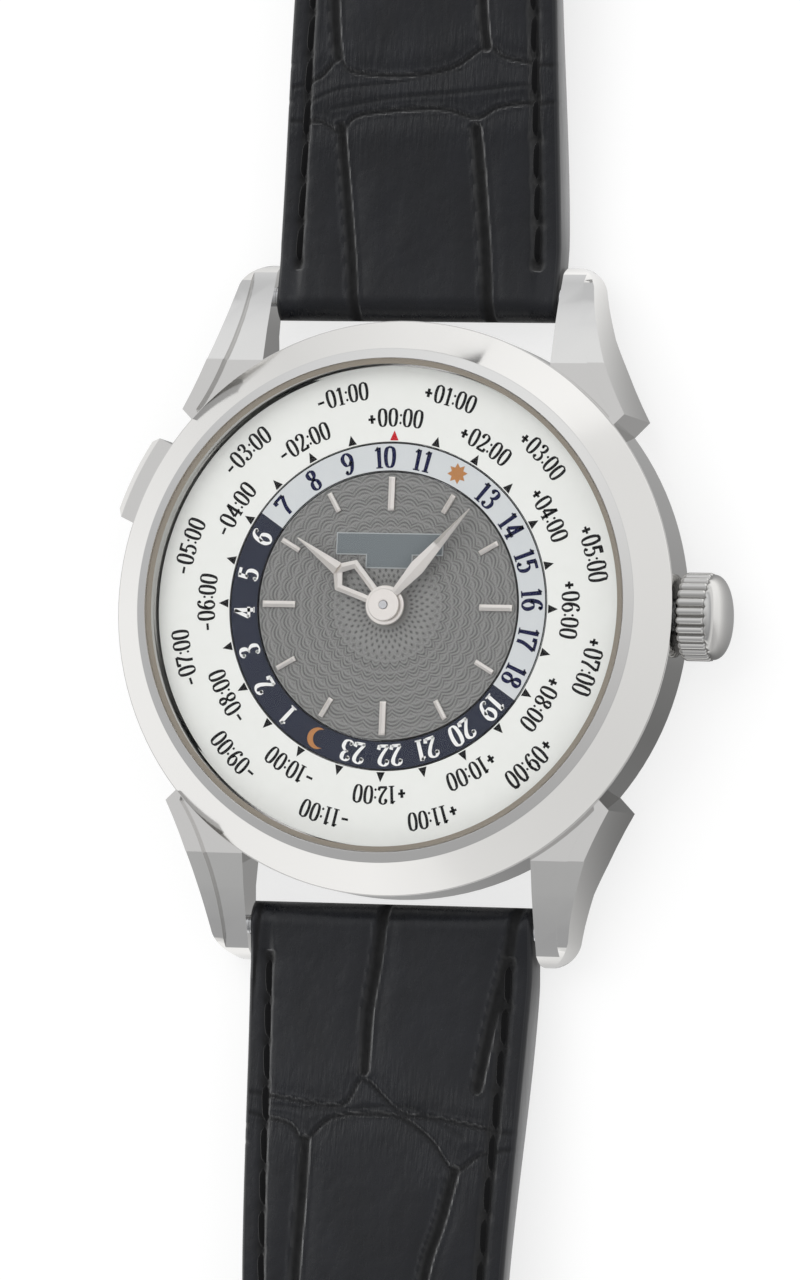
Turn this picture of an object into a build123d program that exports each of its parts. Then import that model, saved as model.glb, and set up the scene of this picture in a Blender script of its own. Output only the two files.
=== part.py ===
from build123d import *
from math import atan2, cos, degrees, hypot, radians, sin, sqrt
import os

os.makedirs("parts", exist_ok=True)

# A world time wristwatch, in millimetres. The origin is the centre of the flat ring that the case
# back stands on. +Z points out of the dial, +Y to 12 o'clock and +X to the crown.
# A level is a height above that ring, a radius is from the case axis unless a name says otherwise.

# Fits
running_clearance = 0.03
disc_clearance = 0.07
seat_clearance = 0.05
overrun = 1.0

# Case
case_radius = 19.25
case_thickness = 10.23
bezel_seat_level = 6.7
flank_bottom_level = 1.8
case_bevel = 0.6
case_wall = 4.9

# Lugs, with outlines as shares of their width at the root and of how far they reach from the case centre
lug_overhang = 4.25
lug_gap = 20.0
lug_root_share = 0.681
lug_root_depth = 0.55
lug_flank_draft = 6.0
lug_flank_low_level = 1.4
lug_recess_depth = 0.4
lug_flank_shares = [(1.005, 0.556), (0.652, 0.758), (0.448, 0.935)]
lug_tip_shares = [(0.448, 0.935), (0.315, 0.982), (0.0, 1.0)]
lug_recess_shares = [(0.683, 0.52), (0.73, 0.56), (0.39, 0.745), (0.268, 0.96)]
lug_top_level = 6.62
lug_top_shares = [(0.706, 0.985), (0.800, 0.885), (0.879, 0.775), (0.945, 0.655)]
lug_nose_shares = [(0.945, 0.655), (0.982, 0.490), (1.0, 0.250)]
lug_under_shares = [(0.880, 0.345), (0.790, 0.390), (0.700, 0.330)]

# Bezel and crystal
bezel_slope_width = 2.1
bezel_crest_level = 9.1
bezel_lip_width = 0.69
bezel_lip_level = 9.35
crystal_ledge_level = 9.2
crystal_ledge_width = 0.41
crystal_thickness = 1.03
crystal_bevel_width = 0.85
crystal_bevel_height = 0.45

# Case back
back_rim_inset = 0.95
back_slope_width = 1.5
back_foot_width = 3.35
back_ledge_width = 0.45
back_crystal_thickness = 1.0

# Dial, the two turning discs and the markers
dial_level = 8.0
dial_hole_radius = 1.02
disc_rim_clearance = 0.1
city_band_width = 4.95
hour_band_width = 1.93
disc_bottom_level = 7.3
marker_long = 2.25
marker_long_width = 0.42
marker_long_inset = 1.43
marker_short = 1.4
marker_short_width = 0.33
marker_short_inset = 1.02
marker_height = 0.26
marker_bevel = 0.07

# Hands, with outlines as shares of their length and greatest half width
hour_hand_inset = 1.29
hour_hand_half_width = 1.24
hour_hand_level = 8.48
hour_hand_thickness = 0.26
hour_hub_radius = 1.33
hour_hand_angle = 144.8
hour_hand_shares = [(0.13, 0.46), (0.45, 1.0), (0.545, 0.365), (1.0, 0.03)]
hour_window_shares = [(0.165, 0.125), (0.423, 0.56), (0.49, 0.0)]
minute_hand_inset = 0.31
minute_hand_half_width = 0.52
minute_hand_level = 8.84
minute_hand_thickness = 0.24
minute_hub_radius = 1.08
minute_hand_angle = 49.0
minute_hand_shares = [(0.11, 0.42), (0.24, 0.72), (0.385, 1.0), (0.62, 0.64), (1.0, 0.06)]

# Crown, winding stem and tube on the 3 o'clock side
crown_axis_level = 3.8
crown_flat_depth = 0.15
crown_gap = 0.2
crown_radius = 2.95
crown_flute_count = 27
crown_flute_depth = 0.18
crown_knurl_length = 1.75
crown_dome_length = 1.35
crown_end_radius = 1.55
crown_bevel = 0.22
tube_radius = 1.2
tube_wall = 0.62
tube_seat_depth = 1.9
tube_standout = 0.95
crown_bore_depth = 1.15
crown_bore_clearance = 0.06
stem_radius = 0.4
stem_square_margin = 1.1
stem_square_width = 0.5
stem_hold_length = 1.1
winding_pinion_pitch_radius = 0.58
winding_pinion_length = 2.0
winding_pinion_offset_share = 0.42
winding_pinion_teeth = 12
crown_pull_travel = 1.3

# Pusher on the 10 o'clock side
pusher_angle = 155.0
pusher_level = 4.25
pusher_width = 5.9
pusher_height = 2.7
pusher_standout = 1.75
pusher_seat_depth = 0.4
pusher_travel = 0.7
pusher_bevel = 0.45
pusher_stem_radius = 0.5
pusher_stem_end_gap = 0.9
pusher_spring_radius = 0.9
pusher_spring_wall = 0.25
pusher_spring_gap = 1.6
pusher_bore_floor = 0.75

# Movement plates
plate_flange_width = 0.9
plate_bottom_level = 4.6
plate_top_level = 7.25
motion_pocket_clearance = 0.65
motion_pocket_level = 6.1
bridge_inset_share = 0.1119
bridge_bottom_level = 2.0
bridge_top_level = 3.1
bridge_foot_width = 1.4
barrel_foot_angles = [(10, 20), (62, 24)]
train_foot_angles = [(-52, 15), (185, 30), (232, 12)]
bridge_gap_share = 0.014
bridge_split_share = 0.119
pallet_cock_bottom_level = 3.14
pallet_cock_top_level = 3.36
cock_bottom_level = 1.95
cock_thickness = 0.45
cock_radius_share = 0.0769
cock_foot_distance_share = 0.346
cock_foot_direction = 348.0
stud_radius = 0.18
pallet_cock_radius = 0.75
pallet_cock_foot_distance_share = 0.266
pallet_cock_foot_direction = 250.8
arbor_radius = 0.2

# Toothed wheels: centre distances and sizes as shares of the plate's radius, tooth counts and rim levels
tooth_tip_share = 0.8
tooth_root_share = 1.2
rim_thickness = 0.22
barrel_distance_share = 0.393
barrel_angle = 48.0
barrel_teeth = 60
centre_pinion_teeth = 10
barrel_drum_inset = 0.37
barrel_bottom_level = 3.22
barrel_top_level = 4.1
barrel_rim_level = 3.75
barrel_rim_height = 0.3
barrel_arbor_radius = 0.7
third_distance_share = 0.3147
third_angle = 189.1
centre_wheel_teeth = 56
centre_wheel_level = 4.22
third_pinion_teeth = 7
third_rim_radius_share = 0.2238
third_wheel_teeth = 45
third_wheel_level = 3.5
fourth_distance_share = 0.2552
fourth_angle = 246.4
fourth_pinion_radius = 0.3
fourth_wheel_teeth = 48
fourth_wheel_level = 4.12
escape_distance_share = 0.2112
escape_angle = 289.3
escape_pinion_teeth = 6
escape_radius_share = 0.1329
escape_root_radius_share = 0.1049
escape_teeth = 15
escape_level = 3.5
pallet_distance_share = 0.165
balance_distance_share = 0.4175
balance_angle = 342.8
balance_radius_share = 0.2517
balance_rim_width = 0.42
balance_level = 2.8
balance_rim_height = 0.26
balance_pocket_share = 0.028
roller_radius = 0.45
impulse_pin_offset = 0.36
impulse_pin_radius = 0.08
hairspring_level = 2.5
hairspring_height = 0.2
hairspring_width = 0.09
hairspring_start_radius = 0.5
hairspring_pitch_share = 0.04664
hairspring_turns = 3
ratchet_teeth = 32
ratchet_level = 1.66
ratchet_height = 0.26
crown_wheel_distance_share = 0.3706
crown_wheel_angle = 340.5
crown_wheel_teeth = 20
crown_wheel_hub_radius = 0.31
rotor_distance_share = 0.5455
rotor_angle = 137.0
rotor_radius_share = 0.3497
rotor_rim_width = 1.15
rotor_bottom_level = 1.75
rotor_top_level = 3.15
rotor_web_thickness = 0.35
rotor_hub_radius = 1.0
rotor_post_radius = 0.5
rotor_pocket_share = 0.021
rotor_start_angle = 200.0
centre_arbor_radius = 0.35
motion_distance_share = 0.1818
cannon_teeth = 10
cannon_radius = 0.6
cannon_bore_radius = 0.36
cannon_tip_radius = 0.28
cannon_teeth_height = 0.42
minute_wheel_teeth = 30
minute_pinion_teeth = 8
hour_wheel_teeth = 32
hour_pipe_radius = 0.95
hour_wheel_level = 6.84

# Spring bars and straps; shapes as (distance from the case centre, level) along the strap
bar_case_distance = 1.95
bar_level = 3.2
bar_radius = 0.65
bar_end_length = 0.9
strap_eye_radius = 1.6
strap_lug_clearance = 0.2
strap_end_width = 16.0
strap_untapered_length = 20.0
strap_taper_shares = [(0.07, 1.0), (0.45, 0.594), (0.90, 0.0)]
strap_crest_level = 6.35
short_strap_length = 71.0
short_flat_length = 21.0
short_top_shares = [(0.456, 0.992), (0.536, 1.0), (0.736, 0.819), (0.896, 0.567)]
short_bottom_shares = [(0.096, 0.181), (0.456, 0.520), (0.536, 0.551), (0.736, 0.409), (0.896, 0.189)]
long_strap_length = 112.0
long_flat_length = 49.0
long_strap_thickness = 2.35
long_top_shares = [(0.362, 0.992), (0.457, 1.0), (0.648, 0.850), (0.870, 0.472)]
long_bottom_shares = [(0.076, 0.181), (0.362, 0.520), (0.457, 0.551), (0.648, 0.409), (0.870, 0.071)]
strap_tip_shares = [(0.74, 0.69)]
strap_hole_pitch = 6.4
strap_hole_radius = 0.8
strap_hole_count = 7
strap_first_hole = 24.0
strap_tip_length = 11.0

# Keepers and buckle
keeper_length = 4.6
keeper_wall = 0.7
keeper_gap = 0.12
keeper_height = 6.4
fixed_keeper_setback = 6.6
free_keeper_setback = 14.8
keeper_corner = 1.0
buckle_bar_radius = 0.65
buckle_eye_radius = 1.12
buckle_side_clearance = 0.3
buckle_arm_width = 1.9
buckle_length = 13.2
buckle_front_width = 2.3
buckle_front_top_level = 2.15
buckle_thickness = 2.1
buckle_corner = 2.4
buckle_inner_corner = 0.8
tongue_width = 1.9
tongue_thickness = 0.75
tongue_corner = 0.8
tongue_slot_clearance = 0.35
tongue_slot_length = 3.8
tongue_overhang = 0.55

# Sizes that follow from the ones above
movement_bore_radius = case_radius - case_wall
lug_reach = case_radius + lug_overhang
lug_root_radius = case_radius - lug_root_depth
lug_root_width = lug_reach * lug_root_share - lug_gap / 2
bezel_crest_radius = case_radius - bezel_slope_width
bezel_lip_radius = bezel_crest_radius - bezel_lip_width
dial_opening_radius = bezel_lip_radius - crystal_ledge_width
back_rim_radius = case_radius - back_rim_inset
back_foot_radius = back_rim_radius - back_slope_width
back_window_radius = back_foot_radius - back_foot_width
back_ledge_radius = back_window_radius - back_ledge_width
city_disc_radius = dial_opening_radius - disc_rim_clearance
city_disc_inner_radius = city_disc_radius - city_band_width
hour_ring_radius = city_disc_inner_radius - disc_clearance
hour_ring_inner_radius = hour_ring_radius - hour_band_width
dial_radius = hour_ring_inner_radius - disc_clearance
marker_long_radius = dial_radius - marker_long_inset
hour_hand_length = dial_radius - hour_hand_inset
minute_hand_length = dial_radius - minute_hand_inset
marker_short_radius = dial_radius - marker_short_inset
crown_flat_distance = case_radius - crown_flat_depth
tube_inner_distance = case_radius - tube_seat_depth
pusher_face_radius = case_radius + pusher_standout
pusher_back_radius = case_radius - pusher_seat_depth
pusher_stem_end_radius = movement_bore_radius + pusher_stem_end_gap
pusher_spring_inner_end_radius = movement_bore_radius + pusher_spring_gap
pusher_bore_floor_radius = movement_bore_radius + pusher_bore_floor
plate_radius = movement_bore_radius - seat_clearance
plate_flange_radius = plate_radius + plate_flange_width
bridge_radius = plate_radius * (1 - bridge_inset_share)
bridge_gap = plate_radius * bridge_gap_share
bridge_foot_radius = bridge_radius - bridge_foot_width
bridge_split_distance = plate_radius * bridge_split_share
cock_radius = plate_radius * cock_radius_share
cock_foot_distance = plate_radius * cock_foot_distance_share
pallet_cock_foot_distance = plate_radius * pallet_cock_foot_distance_share
barrel_distance = plate_radius * barrel_distance_share
third_distance = plate_radius * third_distance_share
third_rim_radius = plate_radius * third_rim_radius_share
fourth_distance = plate_radius * fourth_distance_share
escape_distance = plate_radius * escape_distance_share
escape_radius = plate_radius * escape_radius_share
escape_root_radius = plate_radius * escape_root_radius_share
pallet_distance = plate_radius * pallet_distance_share
balance_distance = plate_radius * balance_distance_share
balance_radius = plate_radius * balance_radius_share
hairspring_pitch = plate_radius * hairspring_pitch_share
crown_wheel_distance = plate_radius * crown_wheel_distance_share
rotor_distance = plate_radius * rotor_distance_share
rotor_radius = plate_radius * rotor_radius_share
motion_distance = plate_radius * motion_distance_share
bar_distance = case_radius + bar_case_distance
strap_lug_width = lug_gap - 2 * strap_lug_clearance
crystal_radius = bezel_lip_radius - running_clearance
crystal_top_level = case_thickness
crystal_side_level = crystal_top_level - crystal_bevel_height
crown_start_distance = crown_flat_distance + crown_gap
crown_shoulder_distance = crown_start_distance + crown_knurl_length
crown_end_distance = crown_shoulder_distance + crown_dome_length
tube_outer_distance = crown_flat_distance + tube_standout
tube_bore_radius = tube_radius - tube_wall
barrel_pitch_radius = barrel_distance * barrel_teeth / (barrel_teeth + centre_pinion_teeth)
barrel_drum_radius = barrel_pitch_radius - barrel_drum_inset
centre_pinion_pitch_radius = barrel_distance - barrel_pitch_radius
centre_pitch_radius = third_distance * centre_wheel_teeth / (centre_wheel_teeth + third_pinion_teeth)
third_pinion_pitch_radius = third_distance - centre_pitch_radius
fourth_pitch_radius = escape_distance * fourth_wheel_teeth / (fourth_wheel_teeth + escape_pinion_teeth)
escape_pinion_pitch_radius = escape_distance - fourth_pitch_radius
ratchet_pitch_radius = crown_wheel_distance * ratchet_teeth / (ratchet_teeth + crown_wheel_teeth)
crown_wheel_pitch_radius = crown_wheel_distance - ratchet_pitch_radius
cannon_pitch_radius = motion_distance * cannon_teeth / (cannon_teeth + minute_wheel_teeth)
minute_wheel_pitch_radius = motion_distance - cannon_pitch_radius
motion_pocket_radius = motion_distance + minute_wheel_pitch_radius + motion_pocket_clearance
minute_pinion_pitch_radius = motion_distance * minute_pinion_teeth / (minute_pinion_teeth + hour_wheel_teeth)
hour_wheel_pitch_radius = motion_distance - minute_pinion_pitch_radius
buckle_bar_level = running_clearance + keeper_wall + keeper_gap + buckle_eye_radius
short_arch_length = short_strap_length - short_flat_length
long_arch_length = long_strap_length - long_flat_length
strap_taper_length = short_strap_length - strap_untapered_length
buckle_bar_distance = bar_distance + short_strap_length
buckle_inner_width = strap_end_width + 2 * buckle_side_clearance
buckle_front_distance = buckle_bar_distance + buckle_length
fixed_keeper_distance = buckle_bar_distance - fixed_keeper_setback
free_keeper_distance = buckle_bar_distance - free_keeper_setback
pocket_balance_radius = balance_radius + plate_radius * balance_pocket_share
pocket_rotor_radius = rotor_radius + plate_radius * rotor_pocket_share


def across(half_width):
    """The plane square to X from which a piece of this half width is drawn and extruded."""
    return Plane.YZ.offset(-half_width)


def polar(radius, angle, centre=(0, 0)):
    """The point at this radius and angle from a centre."""
    return (centre[0] + radius * cos(radians(angle)), centre[1] + radius * sin(radians(angle)))


centre_place = (0, 0)
barrel_place = polar(barrel_distance, barrel_angle)
third_place = polar(third_distance, third_angle)
fourth_place = polar(fourth_distance, fourth_angle, third_place)
escape_place = polar(escape_distance, escape_angle, fourth_place)
pallet_place = polar(pallet_distance, balance_angle, escape_place)
balance_place = polar(balance_distance, balance_angle, escape_place)
rotor_place = polar(rotor_distance, rotor_angle)
crown_wheel_place = polar(crown_wheel_distance, crown_wheel_angle, barrel_place)
minute_wheel_place = polar(motion_distance, 0)
winding_pinion_distance = crown_wheel_place[0] + winding_pinion_length * winding_pinion_offset_share
stem_square_end_distance = winding_pinion_distance - stem_square_margin
stem_square_start_distance = winding_pinion_distance + winding_pinion_length + stem_square_margin


def shared(shares, across, along, start=0.0):
    """Outline points from shares of two sizes, measured across from a start."""
    return [(start + across * a, along * b) for a, b in shares]


def phase_in_mesh(teeth, phase, other_teeth, direction):
    """The angle of one tooth of the second wheel, so that it meshes with the first one."""
    pitch_angle = 360 / teeth
    other_pitch_angle = 360 / other_teeth
    fraction = ((direction - phase) / pitch_angle) % 1
    return direction + 180 + (fraction + 0.5) * other_pitch_angle


def toothed_face(teeth, pitch_radius, phase=0.0):
    """The outline of a wheel with pointed teeth, drawn in the current sketch."""
    step = 360 / teeth
    module = 2 * pitch_radius / teeth
    tip_radius = pitch_radius + tooth_tip_share * module
    root_radius = pitch_radius - tooth_root_share * module
    points = []
    for tooth in range(teeth):
        angle = phase + tooth * step
        points.append(polar(tip_radius, angle))
        points.append(polar(root_radius, angle + step / 2))
    Polygon(*points, align=None)


def disc(place, radius, low, high, hole=0.0, mode=Mode.ADD):
    """A round disc between two levels, with a round hole if one is given."""
    with BuildSketch(Plane.XY.offset(low)) as face:
        with Locations(place):
            Circle(radius)
            if hole:
                Circle(hole, mode=Mode.SUBTRACT)
    extrude(face.sketch, amount=high - low, mode=mode)


def toothed_disc(place, teeth, pitch_radius, phase, low, high):
    """A toothed wheel blank between two levels."""
    with BuildSketch(Plane.XY.offset(low)) as face:
        with Locations(place):
            toothed_face(teeth, pitch_radius, phase)
    extrude(face.sketch, amount=high - low)


def spoke_windows(place, inner, outer, spokes, spoke_width, low, high):
    """Cuts the openings between the spokes of a wheel."""
    with BuildSketch(Plane.XY.offset(low)) as windows:
        with Locations(place):
            Circle(outer)
            Circle(inner, mode=Mode.SUBTRACT)
            for spoke in range(spokes):
                with Locations(Location((0, 0), spoke * 360 / spokes)):
                    Rectangle(outer + inner, spoke_width, align=(Align.MIN, Align.CENTER), mode=Mode.SUBTRACT)
    extrude(windows.sketch, amount=high - low, mode=Mode.SUBTRACT)


def finish(builder, name):
    """Labels a finished piece and writes it."""
    builder.part.label = name
    export_step(builder.part, f"parts/{name}.step")


# One lug, at the upper right. Its flank widens downwards and its side follows the lug line.
with BuildPart() as lug_recess:
    with BuildSketch(Plane.XY):
        with BuildLine():
            inner_x = lug_gap / 2 - overrun
            edge = shared(lug_recess_shares, lug_root_width, lug_reach, lug_gap / 2)
            Polyline((inner_x, edge[0][1]), edge[0], edge[1])
            ThreePointArc(*edge[1:])
            Polyline(edge[-1], (edge[-1][0], lug_reach + overrun), (inner_x, lug_reach + overrun),
                     (inner_x, edge[0][1]))
        make_face()
    extrude(amount=lug_top_level + overrun)
    with BuildSketch(Plane.YZ):
        with BuildLine():
            line = [(y, z - lug_recess_depth) for y, z in shared(lug_top_shares, lug_reach, lug_top_level)]
            Polyline((lug_root_radius / 2, lug_top_level + overrun), (lug_root_radius / 2, line[0][1]), *line)
            Polyline(line[-1], (lug_reach + overrun, line[-1][1] - overrun),
                     (lug_reach + overrun, lug_top_level + overrun),
                     (lug_root_radius / 2, lug_top_level + overrun))
        make_face()
    extrude(amount=lug_reach, mode=Mode.INTERSECT)

with BuildPart() as lug:
    with BuildSketch(Plane.XY.offset(lug_flank_low_level)):
        with BuildLine():
            flank = shared(lug_flank_shares, lug_root_width, lug_reach, lug_gap / 2)
            tip = shared(lug_tip_shares, lug_root_width, lug_reach, lug_gap / 2)
            inner_x = lug_gap / 2 - overrun
            root_angle = degrees(atan2(flank[0][1], flank[0][0])) - case_bevel
            root_top = (inner_x, sqrt(lug_root_radius**2 - inner_x**2))
            root_start = polar(lug_root_radius, root_angle)
            root_end_angle = degrees(atan2(root_top[1], root_top[0]))
            ThreePointArc(root_top, polar(lug_root_radius, (root_angle + root_end_angle) / 2), root_start)
            Line(root_start, flank[0])
            ThreePointArc(*flank)
            ThreePointArc(*tip)
            Polyline(tip[-1], (inner_x, lug_reach), root_top)
        make_face()
    extrude(amount=lug_top_level - lug_flank_low_level, taper=lug_flank_draft)
    with BuildSketch(Plane.YZ):
        with BuildLine():
            top = shared(lug_top_shares, lug_reach, lug_top_level)
            nose = shared(lug_nose_shares, lug_reach, lug_top_level)
            under = shared(lug_under_shares, lug_reach, lug_top_level)
            Polyline((lug_root_radius / 2, flank_bottom_level), (lug_root_radius / 2, lug_top_level),
                     (top[0][0], lug_top_level), *top)
            ThreePointArc(*nose)
            Polyline(nose[-1], *under, (lug_root_radius / 2, flank_bottom_level))
        make_face()
    extrude(amount=lug_reach, mode=Mode.INTERSECT)
    add(lug_recess.part, mode=Mode.SUBTRACT)
    with BuildSketch(Plane.XY):
        Rectangle(lug_gap / 2, lug_reach + overrun, align=(Align.MIN, Align.MIN))
    extrude(amount=lug_top_level + overrun, mode=Mode.SUBTRACT)

pusher_plane = Plane(origin=(*polar(pusher_bore_floor_radius, pusher_angle), pusher_level),
                     x_dir=(*polar(1, pusher_angle + 90), 0), z_dir=(*polar(1, pusher_angle), 0))
pocket_floor_radius = pusher_back_radius - pusher_travel - seat_clearance
bar_hole_depth = bar_end_length + seat_clearance

with BuildPart() as mid_case:
    with BuildSketch(Plane.XZ):
        Polygon((movement_bore_radius, flank_bottom_level), (movement_bore_radius, bezel_seat_level),
                (case_radius, bezel_seat_level), (case_radius, flank_bottom_level + case_bevel),
                (case_radius - case_bevel, flank_bottom_level), align=None)
    revolve(axis=Axis.Z)
    add(lug.part)
    mirror(lug.part, about=Plane.YZ)
    mirror(lug.part, about=Plane.XZ)
    mirror(mirror(lug.part, about=Plane.YZ, mode=Mode.PRIVATE), about=Plane.XZ)
    # flat on the flank behind the crown, tube seat and stem bore
    with BuildSketch(Plane.YZ.offset(crown_flat_distance)):
        with Locations((0, bezel_seat_level)):
            Rectangle(2 * crown_radius, bezel_seat_level, align=(Align.CENTER, Align.MAX))
    extrude(amount=overrun, mode=Mode.SUBTRACT)
    with BuildSketch(Plane.YZ.offset(tube_inner_distance)):
        with Locations((0, crown_axis_level)):
            Circle(tube_radius + running_clearance / 3)
    extrude(amount=case_radius - tube_inner_distance, mode=Mode.SUBTRACT)
    with BuildSketch(Plane.YZ.offset(movement_bore_radius / 2)):
        with Locations((0, crown_axis_level)):
            Circle(tube_bore_radius)
    extrude(amount=case_radius - movement_bore_radius / 2, mode=Mode.SUBTRACT)
    # pocket, spring bore and stem bore of the pusher
    with BuildSketch(pusher_plane.offset(pocket_floor_radius - pusher_bore_floor_radius)):
        Rectangle(pusher_width + 2 * seat_clearance, pusher_height + 2 * seat_clearance)
    extrude(amount=case_radius - pocket_floor_radius + overrun, mode=Mode.SUBTRACT)
    with BuildSketch(pusher_plane):
        Circle(pusher_spring_radius + seat_clearance)
    extrude(amount=case_radius - pusher_bore_floor_radius, mode=Mode.SUBTRACT)
    with BuildSketch(pusher_plane.offset(movement_bore_radius - overrun - pusher_bore_floor_radius)):
        Circle(pusher_stem_radius + running_clearance)
    extrude(amount=case_radius - movement_bore_radius, mode=Mode.SUBTRACT)
    # blind holes for the spring bars in the inner faces of the lugs
    for side in (1, -1):
        with BuildSketch(across(lug_gap / 2 + bar_hole_depth)):
            with Locations((side * bar_distance, bar_level)):
                Circle(bar_radius + running_clearance)
        extrude(amount=lug_gap + 2 * bar_hole_depth, mode=Mode.SUBTRACT)
finish(mid_case, "mid_case")

# Bezel: polished slope, flat lip and the ledge that carries the crystal
with BuildPart() as bezel:
    with BuildSketch(Plane.XZ):
        Polygon((bezel_crest_radius, bezel_crest_level),
                (bezel_lip_radius, bezel_lip_level), (bezel_lip_radius, crystal_ledge_level),
                (dial_opening_radius, crystal_ledge_level), (dial_opening_radius, bezel_seat_level),
                (case_radius, bezel_seat_level), align=None)
    revolve(axis=Axis.Z)
finish(bezel, "bezel")

with BuildPart() as crystal:
    with BuildSketch(Plane.XZ):
        Polygon((0, crystal_ledge_level), (crystal_radius, crystal_ledge_level),
                (crystal_radius, crystal_side_level),
                (crystal_radius - crystal_bevel_width, crystal_top_level), (0, crystal_top_level), align=None)
    revolve(axis=Axis.Z)
finish(crystal, "crystal")

# Case back with its window ledge
with BuildPart() as case_back:
    with BuildSketch(Plane.XZ):
        Polygon((back_window_radius, 0), (back_foot_radius, 0), (back_rim_radius, flank_bottom_level),
                (back_ledge_radius, flank_bottom_level),
                (back_ledge_radius, back_crystal_thickness), (back_window_radius, back_crystal_thickness),
                align=None)
    revolve(axis=Axis.Z)
finish(case_back, "case_back")

with BuildPart() as back_crystal:
    disc(centre_place, back_window_radius - running_clearance / 3, 0, back_crystal_thickness)
finish(back_crystal, "back_crystal")

# Dial side
with BuildPart() as dial_centre:
    disc(centre_place, dial_radius, plate_top_level, dial_level, hole=dial_hole_radius)
finish(dial_centre, "dial_centre")

with BuildPart() as hour_markers:
    with BuildSketch(Plane.XY.offset(dial_level)):
        for hour in range(12):
            on_quarter = hour % 3 == 0
            length = marker_long if on_quarter else marker_short
            width = marker_long_width if on_quarter else marker_short_width
            radius = marker_long_radius if on_quarter else marker_short_radius
            with Locations(Location(polar(radius, 90 - 30 * hour), 90 - 30 * hour)):
                Rectangle(length, width)
    extrude(amount=marker_height)
    chamfer(hour_markers.edges().group_by(Axis.Z)[-1], marker_bevel)
finish(hour_markers, "hour_markers")

with BuildPart() as hour_ring:
    disc(centre_place, hour_ring_radius, disc_bottom_level, dial_level, hole=hour_ring_inner_radius)
finish(hour_ring, "hour_ring")

with BuildPart() as city_disc:
    disc(centre_place, city_disc_radius, disc_bottom_level, dial_level, hole=city_disc_inner_radius)
finish(city_disc, "city_disc")

# Hands: leaf minute hand and openwork hour hand
def hand_outline(shares, length, half_width, angle):
    """Points down one side of a hand and back up the other, turned to its angle."""
    one_side = shared(shares, length, half_width)
    both = one_side + [(along, -across) for along, across in reversed(one_side) if across]
    return [polar(hypot(a, b), angle + degrees(atan2(b, a))) for a, b in both]


with BuildPart() as hour_hand:
    with BuildSketch(Plane.XY.offset(hour_hand_level)):
        Polygon(*hand_outline(hour_hand_shares, hour_hand_length, hour_hand_half_width, hour_hand_angle),
                align=None)
        Polygon(*hand_outline(hour_window_shares, hour_hand_length, hour_hand_half_width, hour_hand_angle),
                align=None, mode=Mode.SUBTRACT)
        Circle(hour_hub_radius)
        Circle(hour_pipe_radius, mode=Mode.SUBTRACT)
    extrude(amount=hour_hand_thickness)
finish(hour_hand, "hour_hand")

with BuildPart() as minute_hand:
    with BuildSketch(Plane.XY.offset(minute_hand_level)):
        Polygon(*hand_outline(minute_hand_shares, minute_hand_length, minute_hand_half_width,
                              minute_hand_angle), align=None)
        Circle(minute_hub_radius)
        Circle(cannon_tip_radius, mode=Mode.SUBTRACT)
    extrude(amount=minute_hand_thickness)
finish(minute_hand, "minute_hand")

# Main plate: the flange rests on the mid-case and the pocket holds the motion work
with BuildPart() as main_plate:
    with BuildSketch(Plane.XZ):
        Polygon((0, plate_bottom_level), (plate_radius, plate_bottom_level),
                (plate_radius, bezel_seat_level), (plate_flange_radius, bezel_seat_level),
                (plate_flange_radius, plate_top_level), (motion_pocket_radius, plate_top_level),
                (motion_pocket_radius, motion_pocket_level), (0, motion_pocket_level), align=None)
    revolve(axis=Axis.Z)
    disc(centre_place, centre_arbor_radius + running_clearance, plate_bottom_level, motion_pocket_level,
         mode=Mode.SUBTRACT)
    disc(minute_wheel_place, arbor_radius, motion_pocket_level, plate_top_level - seat_clearance)
finish(main_plate, "main_plate")


def bridge_foot(start, span):
    """A foot from the bridge down to the main plate, near the rim."""
    middle = start + span / 2
    end = start + span
    with BuildSketch(Plane.XY.offset(bridge_top_level)) as foot:
        with BuildLine():
            Line(polar(bridge_foot_radius, start), polar(bridge_radius, start))
            ThreePointArc(polar(bridge_radius, start), polar(bridge_radius, middle), polar(bridge_radius, end))
            Line(polar(bridge_radius, end), polar(bridge_foot_radius, end))
            ThreePointArc(polar(bridge_foot_radius, end), polar(bridge_foot_radius, middle),
                          polar(bridge_foot_radius, start))
        make_face()
    extrude(foot.sketch, amount=plate_bottom_level - bridge_top_level)


def bearing_holes(places, radius, low=bridge_bottom_level, high=bridge_top_level):
    """Round bearing holes through a bridge or cock."""
    for place in places:
        disc(place, radius + running_clearance, low, high, mode=Mode.SUBTRACT)


def bridge_outline(keep_side):
    """The round bridge plane less the rotor and balance pockets, on one side of the dividing line."""
    Circle(bridge_radius)
    with Locations(rotor_place):
        Circle(pocket_rotor_radius, mode=Mode.SUBTRACT)
    with Locations(balance_place):
        Circle(pocket_balance_radius, mode=Mode.SUBTRACT)
    edge = polar(bridge_split_distance + keep_side * bridge_gap / 2, barrel_angle)
    cut_side = Align.MAX if keep_side > 0 else Align.MIN
    with Locations(Location(edge, barrel_angle)):
        Rectangle(2 * bridge_radius, 4 * bridge_radius, align=(cut_side, Align.CENTER), mode=Mode.SUBTRACT)


cock_foot_place = polar(cock_foot_distance, cock_foot_direction, balance_place)
cock_middle = polar(cock_foot_distance / 2, cock_foot_direction, balance_place)
stud_place = polar(hairspring_start_radius + hairspring_pitch * hairspring_turns + hairspring_width / 2
                   + stud_radius + running_clearance, cock_foot_direction, balance_place)
pallet_foot_place = polar(pallet_cock_foot_distance, pallet_cock_foot_direction, pallet_place)
pallet_cock_middle = polar(pallet_cock_foot_distance / 2, pallet_cock_foot_direction, pallet_place)
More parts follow.
